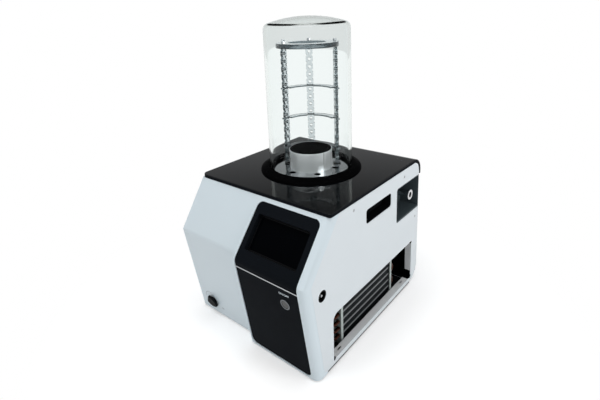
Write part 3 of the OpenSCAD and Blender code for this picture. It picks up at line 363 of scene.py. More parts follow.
FINISHES = [
    Finish(Slot.WHITE_SHEET, "dfe6ea", 0.42, mottle=0.015, patch=0.2, grain=0.0012, depth=0.10),
    Finish(Slot.WHITE_MOULDING, "d9e5eb", 0.36, mottle=0.015, patch=0.2, grain=0.0008, depth=0.06),
    Finish(Slot.BLACK_COVER, "08090b", 0.05, ior=1.38, mottle=0.2, patch=0.3, grain=0.004, depth=0.006,
           unevenness=0.02),
    Finish(Slot.BLACK_PANEL, "13161a", 0.4, ior=1.05, mottle=0.15, grain=0.0006, depth=0.05),
    Finish(Slot.BLACK_SHEET, "141618", 0.5, ior=1.2, mottle=0.15, grain=0.0012, depth=0.12),
    Finish(Slot.MATTE_BLACK, "0e0f11", 0.5, ior=1.16, mottle=0.2, grain=0.0007, depth=0.12),
    Finish(Slot.GREY_PLASTIC, "465054", 0.5, ior=1.3, mottle=0.1, grain=0.0007, depth=0.12),
    Finish(Slot.DISPLAY_GLASS, "030406", 0.06, ior=1.12, mottle=0.3, grain=0.006, depth=0.003,
           unevenness=0.02),
    Finish(Slot.RUBBER, "060607", 0.3, ior=1.02, mottle=0.2, grain=0.0016, depth=0.05, unevenness=0.06),
    Finish(Slot.STEEL, "b9bcbf", 0.34, metallic=1.0, mottle=0.06, grain=0.0012, depth=0.12,
           run=Grain.ALONG_Y),
    Finish(Slot.POLISHED_STEEL, "d3d4d6", 0.10, metallic=1.0, mottle=0.05, grain=0.002, depth=0.01,
           unevenness=0.04),
    # Painted light: the galvanised colour is lightened to near white and made non-metallic so that the
    # window strips, which lie in shade, look brightly lit.
    Finish(Slot.GALVANISED, "eef0f1", 0.42, mottle=0.08, patch=0.012, grain=0.0016, depth=0.10),
    Finish(Slot.FIN_ALUMINIUM, "4c5154", 0.45, metallic=0.8, mottle=0.25, patch=0.02, depth=0.05),
    Finish(Slot.BRIGHT_STRIP, "c4c7c9", 0.25, metallic=0.9, mottle=0.05, depth=0.08, run=Grain.ALONG_X),
    # The copper's dark colour is painted shade for the bends inside the unlit cabinet.
    TubeFinish(Slot.COPPER, "47291f", 0.3, metallic=1.0, mottle=0.18, patch=0.02, depth=0.05),
    Finish(Slot.BRASS, "b8923f", 0.3, metallic=1.0, mottle=0.12, patch=0.02, depth=0.06),
    Finish(Slot.IRON, "131416", 0.38, mottle=0.2, grain=0.0016, depth=0.16),
    Finish(Slot.FOAM, "24272a", 0.9, specular=0.1, mottle=0.3, patch=0.01, grain=0.002, depth=0.6),
    Finish(Slot.BOARD, "0f5a34", 0.4, mottle=0.25, patch=0.006, grain=0.0009, depth=0.2),
    Finish(Slot.HOSE, "c9cdce", 0.3, mottle=0.06, patch=0.03, depth=0.08),
    ClearFinish(Slot.CLEAR_JAR, "fcfefe", 0.0, specular=0.05, ior=1.12, mottle=0.004, grain=0.03,
                depth=0.0, density=15.0),
    ClearFinish(Slot.CLEAR_RACK, "f6f8f9", 0.02, ior=1.47, mottle=0.02, grain=0.003, depth=0.03,
                density=70.0, stain="b4bec2"),
]
MATERIALS = {finish.slot: finish.build() for finish in FINISHES}
# Painted shade: a near-black finish with almost no gloss, on faces that look into the cabinet, the draft
# tube or the cold trap.
PAINTED_INNER_SHADE = Finish(Slot.BLACK_SHEET, "0b0c0d", 0.7, ior=1.01, mottle=0.3, patch=0.03, grain=0.002,
                     depth=0.2, title="dark_lining").build()
# Painted shade: a darker copy of the polished steel for the button's bezel, standing for the dark
# surroundings that it mirrors.
PAINTED_SHADE_STEEL = Finish(Slot.POLISHED_STEEL, "5c6063", 0.22, metallic=1.0, mottle=0.08, grain=0.001, depth=0.02,
                    title="dark_steel").build()
# Painted reflection: a dark, non-metallic face stands for the polished steel button mirroring dark
# surroundings.
PAINTED_DARK_REFLECTION = Finish(Slot.POLISHED_STEEL, "16181a", 0.12, mottle=0.1, grain=0.0008, depth=0.02,
                     title="smoked_face").build()
BRIGHT_TUBE = Finish(Slot.POLISHED_STEEL, "d9dbdd", 0.3, metallic=0.7, mottle=0.08, grain=0.0012, depth=0.05,
                     run=Grain.ALONG_Z, title="bright_tube").build()
# Painted shade: a darker copy of the galvanised finish, for the condenser end plates inside the unlit
# cabinet.
PLATE_PAINTED_SHADE = Finish(Slot.GALVANISED, "b3bcb9", 0.4, metallic=0.3, mottle=0.1, patch=0.012, grain=0.0016,
                    depth=0.1, title="plate_grey").build()
# Partly the rack's own frosted machined walls, partly painted shade: their grey is darkened to stand for the
# dark outlines that refraction draws at holes and rims.
FROSTED_EDGE_AND_PAINTED_SHADE = Finish(Slot.CLEAR_RACK, "6f777a", 0.45, ior=1.3, mottle=0.25, patch=0.01, grain=0.0009, depth=0.2,
                  title="cut_edge").build()
PRINT_GREY = Finish(Slot.WHITE_MOULDING, "53585c", 0.5, mottle=0.1, grain=0.0006, depth=0.05,
                    title="print_grey").build()


def piece_of(name: str, mesh: bpy.types.Mesh) -> Piece:
    """Links a new object that sits at the origin.

    Args:
        name: Its name.
        mesh: The mesh or curve that it carries.

    Returns:
        The new piece.
    """
    piece = bpy.data.objects.new(name, mesh)
    bpy.context.scene.collection.objects.link(piece)
    return piece


def settled(piece: Piece, slot: Slot, *nodes: str, body: str = CABINET) -> Piece:
    """Dresses a finished piece, sets it on its body and hides the nodes of the frame that it stands for.

    Args:
        piece: The piece, in its place.
        slot: The slot that it takes its finish from, unless its mesh has finishes already.
        nodes: The nodes of the frame that it stands for.
        body: The body that it rides on.

    Returns:
        The same piece.
    """
    if not piece.data.materials:
        piece.data.materials.append(MATERIALS[slot])
    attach(piece, body)
    if nodes:
        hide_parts(*nodes)
    LOG.info("%s: %d faces", piece.name, len(piece.data.polygons))
    return piece


def applied(piece: Piece) -> Piece:
    """Turns a piece's modifiers into plain mesh.

    Args:
        piece: The piece to change.

    Returns:
        The same piece.
    """
    held = bpy.context.evaluated_depsgraph_get()
    mesh = bpy.data.meshes.new_from_object(piece.evaluated_get(held), preserve_all_data_layers=True,
                                           depsgraph=held)
    piece.modifiers.clear()
    piece.data = mesh
    return piece


def smoothed(mesh: bpy.types.Mesh) -> None:
    """Shades a mesh smooth, apart from its sharp edges."""
    mesh.polygons.foreach_set("use_smooth", [True] * len(mesh.polygons))
    mesh.set_sharp_from_angle(angle=math.radians(EDGE_ANGLE))


def rounded(piece: Piece, width: float, segments: int) -> Piece:
    """Rounds a piece's sharp edges.

    Args:
        piece: The piece to change.
        width: The width of the rounding in metres.
        segments: The number of facets across it.

    Returns:
        The same piece, as plain mesh.
    """
    piece.data.polygons.foreach_set("use_smooth", [True] * len(piece.data.polygons))
    bevel = piece.modifiers.new("edges", "BEVEL")
    bevel.width = width
    bevel.segments = segments
    bevel.limit_method = "ANGLE"
    bevel.angle_limit = math.radians(EDGE_ANGLE)
    bevel.use_clamp_overlap = True
    bevel.miter_outer = "MITER_ARC"
    weld = piece.modifiers.new("weld", "WELD")
    weld.merge_threshold = ROUNDED_REACH
    weights = piece.modifiers.new("shading", "WEIGHTED_NORMAL")
    weights.weight = FACE_BIAS
    weights.keep_sharp = True
    return applied(piece)


def softened(node: str, slot: Slot, width: float, segments: int = 2, body: str = CABINET) -> Piece:
    """Makes a piece with rounded edges from a node of the frame, and lets it stand for the node.

    Args:
        node: The node's name.
        slot: The slot of its finish.
        width: The width of the rounding in metres.
        segments: The number of facets across it.
        body: The body that it rides on.

    Returns:
        The new piece.
    """
    mesh = frame["nodes"][node].data.copy()
    mesh.materials.clear()
    work = bmesh.new()
    work.from_mesh(mesh)
    bmesh.ops.remove_doubles(work, verts=work.verts, dist=COPY_REACH)
    bmesh.ops.dissolve_limit(work, angle_limit=math.radians(FLAT_ANGLE), verts=work.verts, edges=work.edges)
    work.to_mesh(mesh)
    work.free()
    return settled(rounded(piece_of(node + "_shown", mesh), width, segments), slot, node, body=body)


def restyled(piece: Piece, finish: bpy.types.Material) -> Piece:
    """Gives a whole piece another material than its slot's own."""
    piece.data.materials[0] = finish
    return piece


def lined(piece: Piece, finish: bpy.types.Material, chosen: Callable[[bpy.types.MeshPolygon], bool]) -> None:
    """Gives some of a piece's faces a second material.

    Args:
        piece: The piece to dress.
        finish: The second material.
        chosen: Tells whether a face takes it.
    """
    piece.data.materials.append(finish)
    for face in piece.data.polygons:
        if chosen(face):
            face.material_index = 1


def turned_in(face: bpy.types.MeshPolygon, out: Vector) -> bool:
    """Whether a face looks against the outward direction at its place."""
    return face.normal.dot(out.normalized()) < INWARD


def meshed(name: str, vertices: Sequence[Sequence[float]], faces: Sequence[Sequence[int]],
           place: Matrix | None = None) -> Piece:
    """Makes a piece from its corners and faces, with its faces turned outwards.

    Args:
        name: The piece's name.
        vertices: Its corners.
        faces: Its faces as lists of corners.
        place: Where the corners' own frame lies.

    Returns:
        The new piece.
    """
    mesh = bpy.data.meshes.new(name)
    mesh.from_pydata([tuple(v) for v in vertices], [], [tuple(f) for f in faces])
    work = bmesh.new()
    work.from_mesh(mesh)
    bmesh.ops.remove_doubles(work, verts=work.verts, dist=DRAWN_REACH)
    bmesh.ops.delete(work, geom=[edge for edge in work.edges if not edge.link_faces], context="EDGES")
    bmesh.ops.recalc_face_normals(work, faces=work.faces)
    if place is not None:
        work.transform(place)
    work.to_mesh(mesh)
    work.free()
    smoothed(mesh)
    return piece_of(name, mesh)


def lathed(name: str, outline: Sequence[Point], centre: Vector, steps: int) -> Piece:
    """Turns a closed outline round an upright axis.

    Args:
        name: The piece's name.
        outline: Points of radius and height, in order, the first and last of which join.
        centre: A point on the axis, at height zero of the outline.
        steps: The number of facets round it.

    Returns:
        The new piece.
    """
    vertices, faces, count = [], [], len(outline)
    for i in range(steps):
        turn = 2 * math.pi * i / steps
        vertices += [(r * math.cos(turn), r * math.sin(turn), z) for r, z in outline]
    for i in range(steps):
        near, far = i * count, (i + 1) % steps * count
        faces += [(near + k, near + (k + 1) % count, far + (k + 1) % count, far + k) for k in range(count)]
    return meshed(name, vertices, faces, Matrix.Translation(centre))


def arc(centre: Point, radius: float, start: float, end: float, steps: int) -> list[Point]:
    """Points along an arc.

    Args:
        centre: The arc's centre.
        radius: Its radius.
        start: The angle it starts at, in degrees.
        end: The angle it ends at.
        steps: The number of steps between the two.

    Returns:
        The points, both ends included.
    """
    angles = [math.radians(start + (end - start) * i / steps) for i in range(steps + 1)]
    return [(centre[0] + radius * math.cos(a), centre[1] + radius * math.sin(a)) for a in angles]


def grown(name: str, tree: bpy.types.NodeTree, carrier: bpy.types.Mesh, **values: Any) -> Piece:
    """Runs a tree of geometry nodes on a mesh and keeps the result as plain mesh.

    Args:
        name: The piece's name.
        tree: The tree.
        carrier: The mesh that it works on.
        values: Its inputs, by name with spaces as underscores.

    Returns:
        The new piece.
    """
    piece = piece_of(name, carrier)
    modifier = piece.modifiers.new("growth", "NODES")
    modifier.node_group = tree
    for item in tree.interface.items_tree:
        key = item.name.replace(" ", "_").lower()
        if item.item_type == "SOCKET" and item.in_out == "INPUT" and key in values:
            modifier[item.identifier] = values[key]
    return applied(piece)


def growth_tree(name: str, sockets: dict[str, str]) -> tuple[Graph, bpy.types.Node, bpy.types.Node]:
    """Starts a tree of geometry nodes.

    Args:
        name: The tree's name.
        sockets: Its inputs by name, each with its socket type, after the geometry.

    Returns:
        The graph, its input node and its output node.
    """
    tree = bpy.data.node_groups.new(name, "GeometryNodeTree")
    tree.interface.new_socket("Geometry", in_out="INPUT", socket_type="NodeSocketGeometry")
    tree.interface.new_socket("Geometry", in_out="OUTPUT", socket_type="NodeSocketGeometry")
    for key, kind in sockets.items():
        tree.interface.new_socket(key, in_out="INPUT", socket_type=kind)
    graph = Graph(tree)
    return graph, graph.add("NodeGroupInput"), graph.add("NodeGroupOutput")


def finished_tree(graph: Graph, placed: bpy.types.Node, given: bpy.types.Node,
                  result: bpy.types.Node) -> bpy.types.NodeTree:
    """Ends a tree: its copies become real mesh and take their finish.

    Args:
        graph: The tree's graph.
        placed: The node that places the copies.
        given: The tree's input node.
        result: The tree's output node.

    Returns:
        The tree.
    """
    real = graph.add("GeometryNodeRealizeInstances", {0: placed.outputs[0]})
    dressed = graph.add("GeometryNodeSetMaterial", {"Geometry": real.outputs[0],
                                                    "Material": given.outputs["Finish"]})
    graph.tree.links.new(dressed.outputs[0], result.inputs[0])
    return graph.tree


def copies_tree() -> bpy.types.NodeTree:
    """A tree that sets a copy of an object on each point of a mesh, turned by the point's own "turn".

    Returns:
        The tree.
    """
    graph, given, result = growth_tree("copies_on_points", {
        "Copied": "NodeSocketObject", "Finish": "NodeSocketMaterial"})
    copied = graph.add("GeometryNodeObjectInfo", {"Object": given.outputs["Copied"]})
    own = graph.add("GeometryNodeInputNamedAttribute", {"Name": "turn"}, data_type="FLOAT_VECTOR")
    turn = graph.add("FunctionNodeEulerToRotation", {0: own.outputs[0]})
    points = graph.add("GeometryNodeMeshToPoints", {"Mesh": given.outputs["Geometry"]})
    placed = graph.add("GeometryNodeInstanceOnPoints", {
        "Points": points.outputs[0], "Instance": copied.outputs["Geometry"], "Rotation": turn.outputs[0]})
    return finished_tree(graph, placed, given, result)


def row_tree() -> bpy.types.NodeTree:
    """A tree that sets thin plates in a row, each rippled across its width by a wave.

    Returns:
        The tree.
    """
    graph, given, result = growth_tree("row_of_plates", {
        "Count": "NodeSocketInt", "Start": "NodeSocketVector", "Step": "NodeSocketVector",
        "Width": "NodeSocketFloat", "Height": "NodeSocketFloat", "Thickness": "NodeSocketFloat",
        "Ripple": "NodeSocketFloat", "Waves": "NodeSocketFloat", "Finish": "NodeSocketMaterial"})
    line = graph.add("GeometryNodeMeshLine", {
        "Count": given.outputs["Count"], "Start Location": given.outputs["Start"],
        "Offset": given.outputs["Step"]}, mode="OFFSET")
    size = graph.add("ShaderNodeCombineXYZ", {
        0: given.outputs["Width"], 1: given.outputs["Thickness"], 2: given.outputs["Height"]})
    plate = graph.add("GeometryNodeMeshCube", {
        "Size": size.outputs[0], "Vertices X": RIPPLE_LINES, "Vertices Y": 2, "Vertices Z": 2})
    place = graph.add("GeometryNodeInputPosition")
    x = graph.add("ShaderNodeSeparateXYZ", {0: place.outputs[0]}).outputs[0]
    phase = graph.maths("MULTIPLY", graph.maths("DIVIDE", x, given.outputs["Width"]),
                        graph.maths("MULTIPLY", given.outputs["Waves"], 2 * math.pi))
    wave = graph.maths("MULTIPLY", graph.maths("SINE", phase), given.outputs["Ripple"])
    shift = graph.add("ShaderNodeCombineXYZ", {1: wave})
    rippled = graph.add("GeometryNodeSetPosition", {
        "Geometry": plate.outputs[0], "Offset": shift.outputs[0]})
    placed = graph.add("GeometryNodeInstanceOnPoints", {
        "Points": line.outputs[0], "Instance": rippled.outputs[0]})
    return finished_tree(graph, placed, given, result)


@dataclass
class FrontFaces:
    """Where the bent faces of the front lie. A face's own frame has its origin at its sharp knee."""

    knee_z: float = 0.267
    top_set_back: float = 0.103
    column_lean: float = 0.042
    left_set_back: float = 0.020
    left_lean: float = 0.045
    knee_r: float = 0.022
    foot_z: float = 0.004
    top_z: float = 0.390

    def __post_init__(self) -> None:
        """Works out the leans and the place of the column's knee."""
        rise, fall = self.top_z - self.knee_z, self.knee_z - self.foot_z
        self.slope_a = math.atan2(self.top_set_back, rise)
        self.slope_b = math.atan2(self.column_lean, fall)
        self.left_b = math.atan2(self.left_lean, fall)
        loss = math.cos((self.slope_a - self.slope_b) / 2) / math.cos((self.slope_a + self.slope_b) / 2) - 1
        self.front_y = CAD_BOX[0].y - self.knee_r * loss

    def leaning(self, y: float, lean: float) -> Matrix:
        """A face's frame from the place of its knee and its lean towards the user."""
        return Matrix.Translation((0, y, self.knee_z)) @ Matrix.Rotation(math.pi / 2 + lean, 4, "X")

    def lower(self) -> Matrix:
        """The frame of the column's lower face: X across, Y up the face and Z out of it."""
        return self.leaning(self.front_y, self.slope_b)

    def left(self) -> Matrix:
        """The frame of the left side's lower face."""
        return self.leaning(self.front_y + self.left_set_back, self.left_b)


FACES = FrontFaces()


def lettered(name: str, words: str, height: float, place: Matrix, slot: Slot, bold: float = 0.0,
             finish: bpy.types.Material | None = None) -> Piece:
    """Prints plain words on a face.

    Args:
        name: The piece's name.
        words: The words.
        height: Their height in metres.
        place: The frame that they stand in, centred, with Z out of the face.
        slot: The slot of their finish.
        bold: How far their outlines are moved out.
        finish: A material other than the slot's own.

    Returns:
        The new piece.
    """
    curve = bpy.data.curves.new(name, "FONT")
    curve.body = words
    curve.align_x = curve.align_y = "CENTER"
    curve.size = height * TYPE_RATIO
    curve.extrude = PRINT_DEPTH / 2
    curve.offset = bold
    curve.space_character = TYPE_SPACING
    letters = piece_of(name + "_curve", curve)
    held = bpy.context.evaluated_depsgraph_get()
    mesh = bpy.data.meshes.new_from_object(letters.evaluated_get(held), depsgraph=held)
    mesh.transform(place)
    mesh.materials.clear()
    if finish is not None:
        mesh.materials.append(finish)
    bpy.data.objects.remove(letters)
    return settled(piece_of(name, mesh), slot)


@dataclass
class Housing:
    """The outer shells of the cabinet, with softly rounded edges."""

    shell_edge: float = 0.0011
    shell_facets: int = 3
    sheet_edge: float = 0.0006
    strip_edge: float = sheet_edge / 2
    cover_edge: float = 0.0012
    foot_edge: float = 0.0008
    # How far under the skin of a side panel its hidden faces begin.
    folded_inside: float = 0.0012
    rear_bend: float = 0.045
    # The cover's sides: their normals rise less than this.
    edge_slope: float = 0.2

    def build(self) -> None:
        """Makes the shells and covers. The cover's edges are matt, and the panels' inner faces carry painted
        shade.
        """
        softened("front_fascia", Slot.WHITE_MOULDING, self.shell_edge, self.shell_facets)
        lined(softened("top_cover", Slot.BLACK_COVER, self.cover_edge, self.shell_facets),
              MATERIALS[Slot.BLACK_PANEL], lambda face: face.normal.z < self.edge_slope)
        low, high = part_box("rear_panel")
        bend = Vector((0, high.y - self.rear_bend, low.z + self.rear_bend))
        # The rear panel's inner faces take painted shade.
        lined(softened("rear_panel", Slot.WHITE_SHEET, self.sheet_edge), PAINTED_INNER_SHADE,
              lambda face: self.looks_in(face, bend))
        # The window strips take the galvanised finish with its painted light.
        softened("window_strips", Slot.GALVANISED, self.strip_edge)
        softened("base_plate", Slot.BLACK_SHEET, self.sheet_edge)
        softened("rubber_feet", Slot.RUBBER, self.foot_edge)
        # Faces under the side panels' skin take painted shade.
        skin = CAD_BOX[1].x - self.folded_inside
        for side, sign in (("side_panel_right", 1), ("side_panel_left", -1)):
            lined(softened(side, Slot.WHITE_SHEET, self.sheet_edge), PAINTED_INNER_SHADE,
                  lambda face, s=sign: s * face.center.x < skin)
        for cup in ("carry_cup_right", "carry_cup_left"):
            softened(cup, Slot.MATTE_BLACK, self.shell_edge)

    def looks_in(self, face: bpy.types.MeshPolygon, bend: Vector) -> bool:
        """Whether a face of the rear panel looks into the cabinet.

        Args:
            face: The face, above the panel's lower bend or in it.
            bend: The bend's centre.

        Returns:
            Whether it does.
        """
        out = face.center - bend
        return turned_in(face, Vector((0, out.y, min(out.z, 0))))


@dataclass
class ControlPanels:
    """The black panels on the column, with the screen and the power button."""

    edge: float = 0.0007
    strip_edge: float = edge / 3
    glass_edge: float = edge / 2
    sink: float = 0.0015
    button_x: float = 0.1585
    label_drop: float = 0.037
    label_height: float = 0.0056
    label_bold: float = 0.00012

    def build(self) -> None:
        """Makes the panels, the screen and the button with its label."""
        softened("upper_control_panel", Slot.BLACK_PANEL, self.edge)
        softened("lower_control_panel", Slot.BLACK_PANEL, self.edge)
        softened("trim_strip", Slot.BRIGHT_STRIP, self.strip_edge)
        softened("touch_screen", Slot.DISPLAY_GLASS, self.glass_edge)
        softened("screen_bezel", Slot.MATTE_BLACK, self.glass_edge)
        # The bezel carries painted shade on its polished steel.
        restyled(softened("button_bezel", Slot.POLISHED_STEEL, self.edge), PAINTED_SHADE_STEEL)
        # The button's face carries a painted dark reflection in place of its polished steel.
        restyled(softened("power_button", Slot.POLISHED_STEEL, self.edge, body="power_button"), PAINTED_DARK_REFLECTION)
        spot = Matrix.Translation((self.button_x, -self.label_drop, PRINT_RISE - self.sink))
        lettered("power_label", "ON/OFF", self.label_height, FACES.lower() @ spot, Slot.WHITE_MOULDING,
                 self.label_bold)


@dataclass
class DryingChamber:
    """The bell jar on its sealing ring, with the tray rack and the disc inside."""

    wall: float = 0.008
    shoulder: float = 0.018
    rise: float = 0.014
    rim: float = 0.0012
    steps: int = 192
    arc_steps: int = 14
    thick_edge: float = 0.0008
    clear_edge: float = 0.0005
    disc_edge: float = 0.0003
    tube_edge: float = 0.0002
    # A shelf's rim: its normal rises less than this.
    upright: float = 0.5
    # A post's hole walls: their normals turn to its broad side by less than this, and rise by between these.
    hole_turn: float = 0.35
    hole_tilt: Point = (0.08, 0.999)

    def __post_init__(self) -> None:
        """Notes where the jar stands."""
        self.jar_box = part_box("bell_jar")

    def section(self, radius: float, height: float, inset: float) -> list[Point]:
        """Half of the jar's outline from its side to its top.

        Args:
            radius: The jar's outer radius.
            height: Its height.
            inset: How far the surface is moved inwards.

        Returns:
            The points, ending on the axis.
        """
        run = radius - self.shoulder
        dome = (run * run + self.rise * self.rise) / (2 * self.rise)
        middle = height - dome
        corner = (run, middle + math.sqrt((dome - self.shoulder) ** 2 - run * run))
        lean = math.degrees(math.atan2(run, corner[1] - middle))
        bend = arc(corner, self.shoulder - inset, 0, 90 - lean, self.arc_steps)
        return bend + arc((0, middle), dome - inset, 90 - lean, 90, self.arc_steps)[1:]

    def jar(self) -> Piece:
        """The bell jar, turned as one closed wall.

        Returns:
            The new piece.
        """
        low, high = self.jar_box
        radius, height = (high.x - low.x) / 2, high.z - low.z
        outer = self.section(radius, height, 0)
        inner = self.section(radius, height, self.wall)
        foot = [
            (radius - self.wall, self.rim), (radius - self.wall + self.rim, 0),
            (radius - self.rim, 0), (radius, self.rim),
        ]
        centre = Vector(((low.x + high.x) / 2, (low.y + high.y) / 2, low.z))
        jar = lathed("bell_jar_shown", foot + outer + inner[::-1], centre, self.steps)
        return settled(jar, Slot.CLEAR_JAR, "bell_jar")

    def outward(self, place: Vector) -> Vector:
        """The level direction from the jar's axis to a place."""
        low, high = self.jar_box
        return Vector((place.x - (low.x + high.x) / 2, place.y - (low.y + high.y) / 2, 0))

    def shade(self, pot: Piece) -> None:
        """Gives the inner wall of a round piece painted shade, for the dark of the unlit chamber."""
        lined(pot, PAINTED_INNER_SHADE, lambda face: turned_in(face, self.outward(face.center)))

    def frost(self, node: str, out: Vector) -> None:
        """Makes a post or shelf of the rack, with the machined walls of its holes or rim in a frosted grey
        that also carries painted shade for their dark outlines.

        Args:
            node: The node that it stands for.
            out: The direction that its broad side faces, if it is a post.
        """
        def machined(face: bpy.types.MeshPolygon) -> bool:
            """Whether a face is a machined wall.

            Args:
                face: The face.

            Returns:
                Whether it is.
            """
            tilt = abs(face.normal.z)
            if node.startswith("rack_post"):
                low, high = self.hole_tilt
                return abs(face.normal.dot(out)) < self.hole_turn and low < tilt < high
            return tilt < self.upright

        lined(softened(node, Slot.CLEAR_RACK, self.clear_edge), FROSTED_EDGE_AND_PAINTED_SHADE, machined)

    def build(self) -> None:
        """Makes the jar and the pieces in it."""
        self.jar()
        softened("sealing_ring", Slot.RUBBER, self.thick_edge)
        softened("baffle_disc", Slot.POLISHED_STEEL, self.disc_edge)
        # The inner walls of the draft tube and the cold trap take painted shade.
        self.shade(restyled(softened("draft_tube", Slot.POLISHED_STEEL, self.tube_edge), BRIGHT_TUBE))
        self.shade(softened("cold_trap", Slot.STEEL, self.thick_edge))
        softened("rack_nuts", Slot.POLISHED_STEEL, self.clear_edge)
        for node in frame["nodes"]:
            if node.startswith(("rack_post", "shelf_ring")):
                low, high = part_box(node)
                self.frost(node, self.outward((low + high) / 2).normalized())
            elif node == "rack_top_plate":
                softened(node, Slot.CLEAR_RACK, self.clear_edge)


@dataclass
class RightSide:
    """The vacuum port in its pocket, the gas inlet and the side screws."""

    head_radius: float = 0.0034
    neck_radius: float = 0.0019
    neck_depth: float = 0.0016
    cross_reach: float = 0.0019
    cross_width: float = 0.00045
    cross_depth: float = 0.0009
    cross_taper: float = 0.75
    steps: int = 24
    recess_edge: float = 0.0012
    recess_facets: int = 3
    port_edge: float = 0.0006
    bush_edge: float = 0.0008
    nozzle_edge: float = 0.0003
    spots: tuple[Point, ...] = ((-0.0863, 0.372), (0.175, 0.369), (0.251, 0.219))

    def cross(self) -> list[float]:
        """The cross recess's outline, as its distance from the middle at each step round it.

        Returns:
            The distances.
        """
        half = math.pi / 4
        turns = [abs((math.tau * i / self.steps + half) % (math.pi / 2) - half) for i in range(self.steps)]
        return [min(self.cross_reach / math.cos(turn), self.cross_width / max(math.sin(turn), DRAWN_REACH))
                for turn in turns]

    def head(self) -> Piece:
        """One countersunk screw head with a cross recess, its top at height zero.

        Returns:
            The new piece, to be copied.
        """
        count, arms = self.steps, self.cross()
        loops = [([self.neck_radius] * count, -self.neck_depth), ([self.head_radius] * count, 0.0),
                 (arms, 0.0), ([arm * self.cross_taper for arm in arms], -self.cross_depth)]
        vertices, faces = [(0.0, 0.0, -self.neck_depth)], []
        for radii, z in loops:
            vertices += [(r * math.cos(math.tau * i / count), r * math.sin(math.tau * i / count), z)
                         for i, r in enumerate(radii)]
        vertices.append((0.0, 0.0, -self.cross_depth))
        starts = [1 + row * count for row in range(len(loops))]
        for i in range(count):
            k = (i + 1) % count
            faces.append((0, 1 + k, 1 + i))
            faces += [(near + i, near + k, far + k, far + i) for near, far in zip(starts, starts[1:])]
            faces.append((starts[-1] + i, starts[-1] + k, len(vertices) - 1))
        return meshed("screw_head", vertices, faces)

    def screws(self) -> None:
        """Sets the heads on both sides of the cabinet."""
        head = self.head()
        points = [(side * CAD_BOX[1].x, y, z) for side in (1, -1) for y, z in self.spots]
        carrier = bpy.data.meshes.new("screw_points")
        carrier.from_pydata(points, [], [])
        turns = carrier.attributes.new("turn", "FLOAT_VECTOR", "POINT")
        for place, turn in zip(points, turns.data):
            turn.vector = (0.0, math.copysign(math.pi / 2, place[0]), 0.0)
        piece = grown("side_screws_shown", copies_tree(), carrier, copied=head, finish=MATERIALS[Slot.STEEL])
        smoothed(piece.data)
        bpy.data.objects.remove(head)
        settled(piece, Slot.STEEL, "side_screws")

    def build(self) -> None:
        """Makes the port, the inlet and the screws."""
        self.screws()
        softened("port_recess", Slot.GREY_PLASTIC, self.recess_edge, self.recess_facets)
        softened("vacuum_port", Slot.POLISHED_STEEL, self.port_edge)
        softened("gas_inlet_bush", Slot.MATTE_BLACK, self.bush_edge)
        softened("gas_inlet_nozzle", Slot.STEEL, self.nozzle_edge)


@dataclass
class RearSide:
    """The power inlet."""

    edge: float = 0.0005

    def build(self) -> None:
        """Makes the inlet."""
        softened("power_inlet", Slot.MATTE_BLACK, self.edge)


@dataclass
class Refrigeration:
    """What shows through the condenser window, and what lies behind it."""

    fin_pitch: float = 0.0021
    fin_thickness: float = 0.00022
    ripple: float = 0.0004
    waves: float = 4.0
    plate_edge: float = 0.0004
    shroud_edge: float = 0.0003
    blade_edge: float = 0.0004

    def fins(self) -> Piece:
        """The fin pack, as close plates between the end plates.

        Returns:
            The new piece.
        """
        low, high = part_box("condenser_fins")
        count = int((high.y - low.y) / self.fin_pitch)
        piece = grown(
            "condenser_fins_shown", row_tree(), bpy.data.meshes.new("fin_row"), count=count,
            start=((low.x + high.x) / 2, low.y + self.fin_pitch / 2, (low.z + high.z) / 2),
            step=(0, self.fin_pitch, 0), width=high.x - low.x, height=high.z - low.z,
            thickness=self.fin_thickness, ripple=self.ripple, waves=self.waves,
            finish=MATERIALS[Slot.FIN_ALUMINIUM])
        return settled(piece, Slot.FIN_ALUMINIUM, "condenser_fins")

    def build(self) -> None:
        """Makes the fins and rounds what lies near the window."""
        self.fins()
        # The end plates take the galvanised finish darkened with painted shade.
        restyled(softened("condenser_end_plates", Slot.GALVANISED, self.plate_edge), PLATE_PAINTED_SHADE)
        softened("fan_shroud", Slot.MATTE_BLACK, self.shroud_edge)
        softened("condenser_fan", Slot.MATTE_BLACK, self.blade_edge, body="condenser_fan")


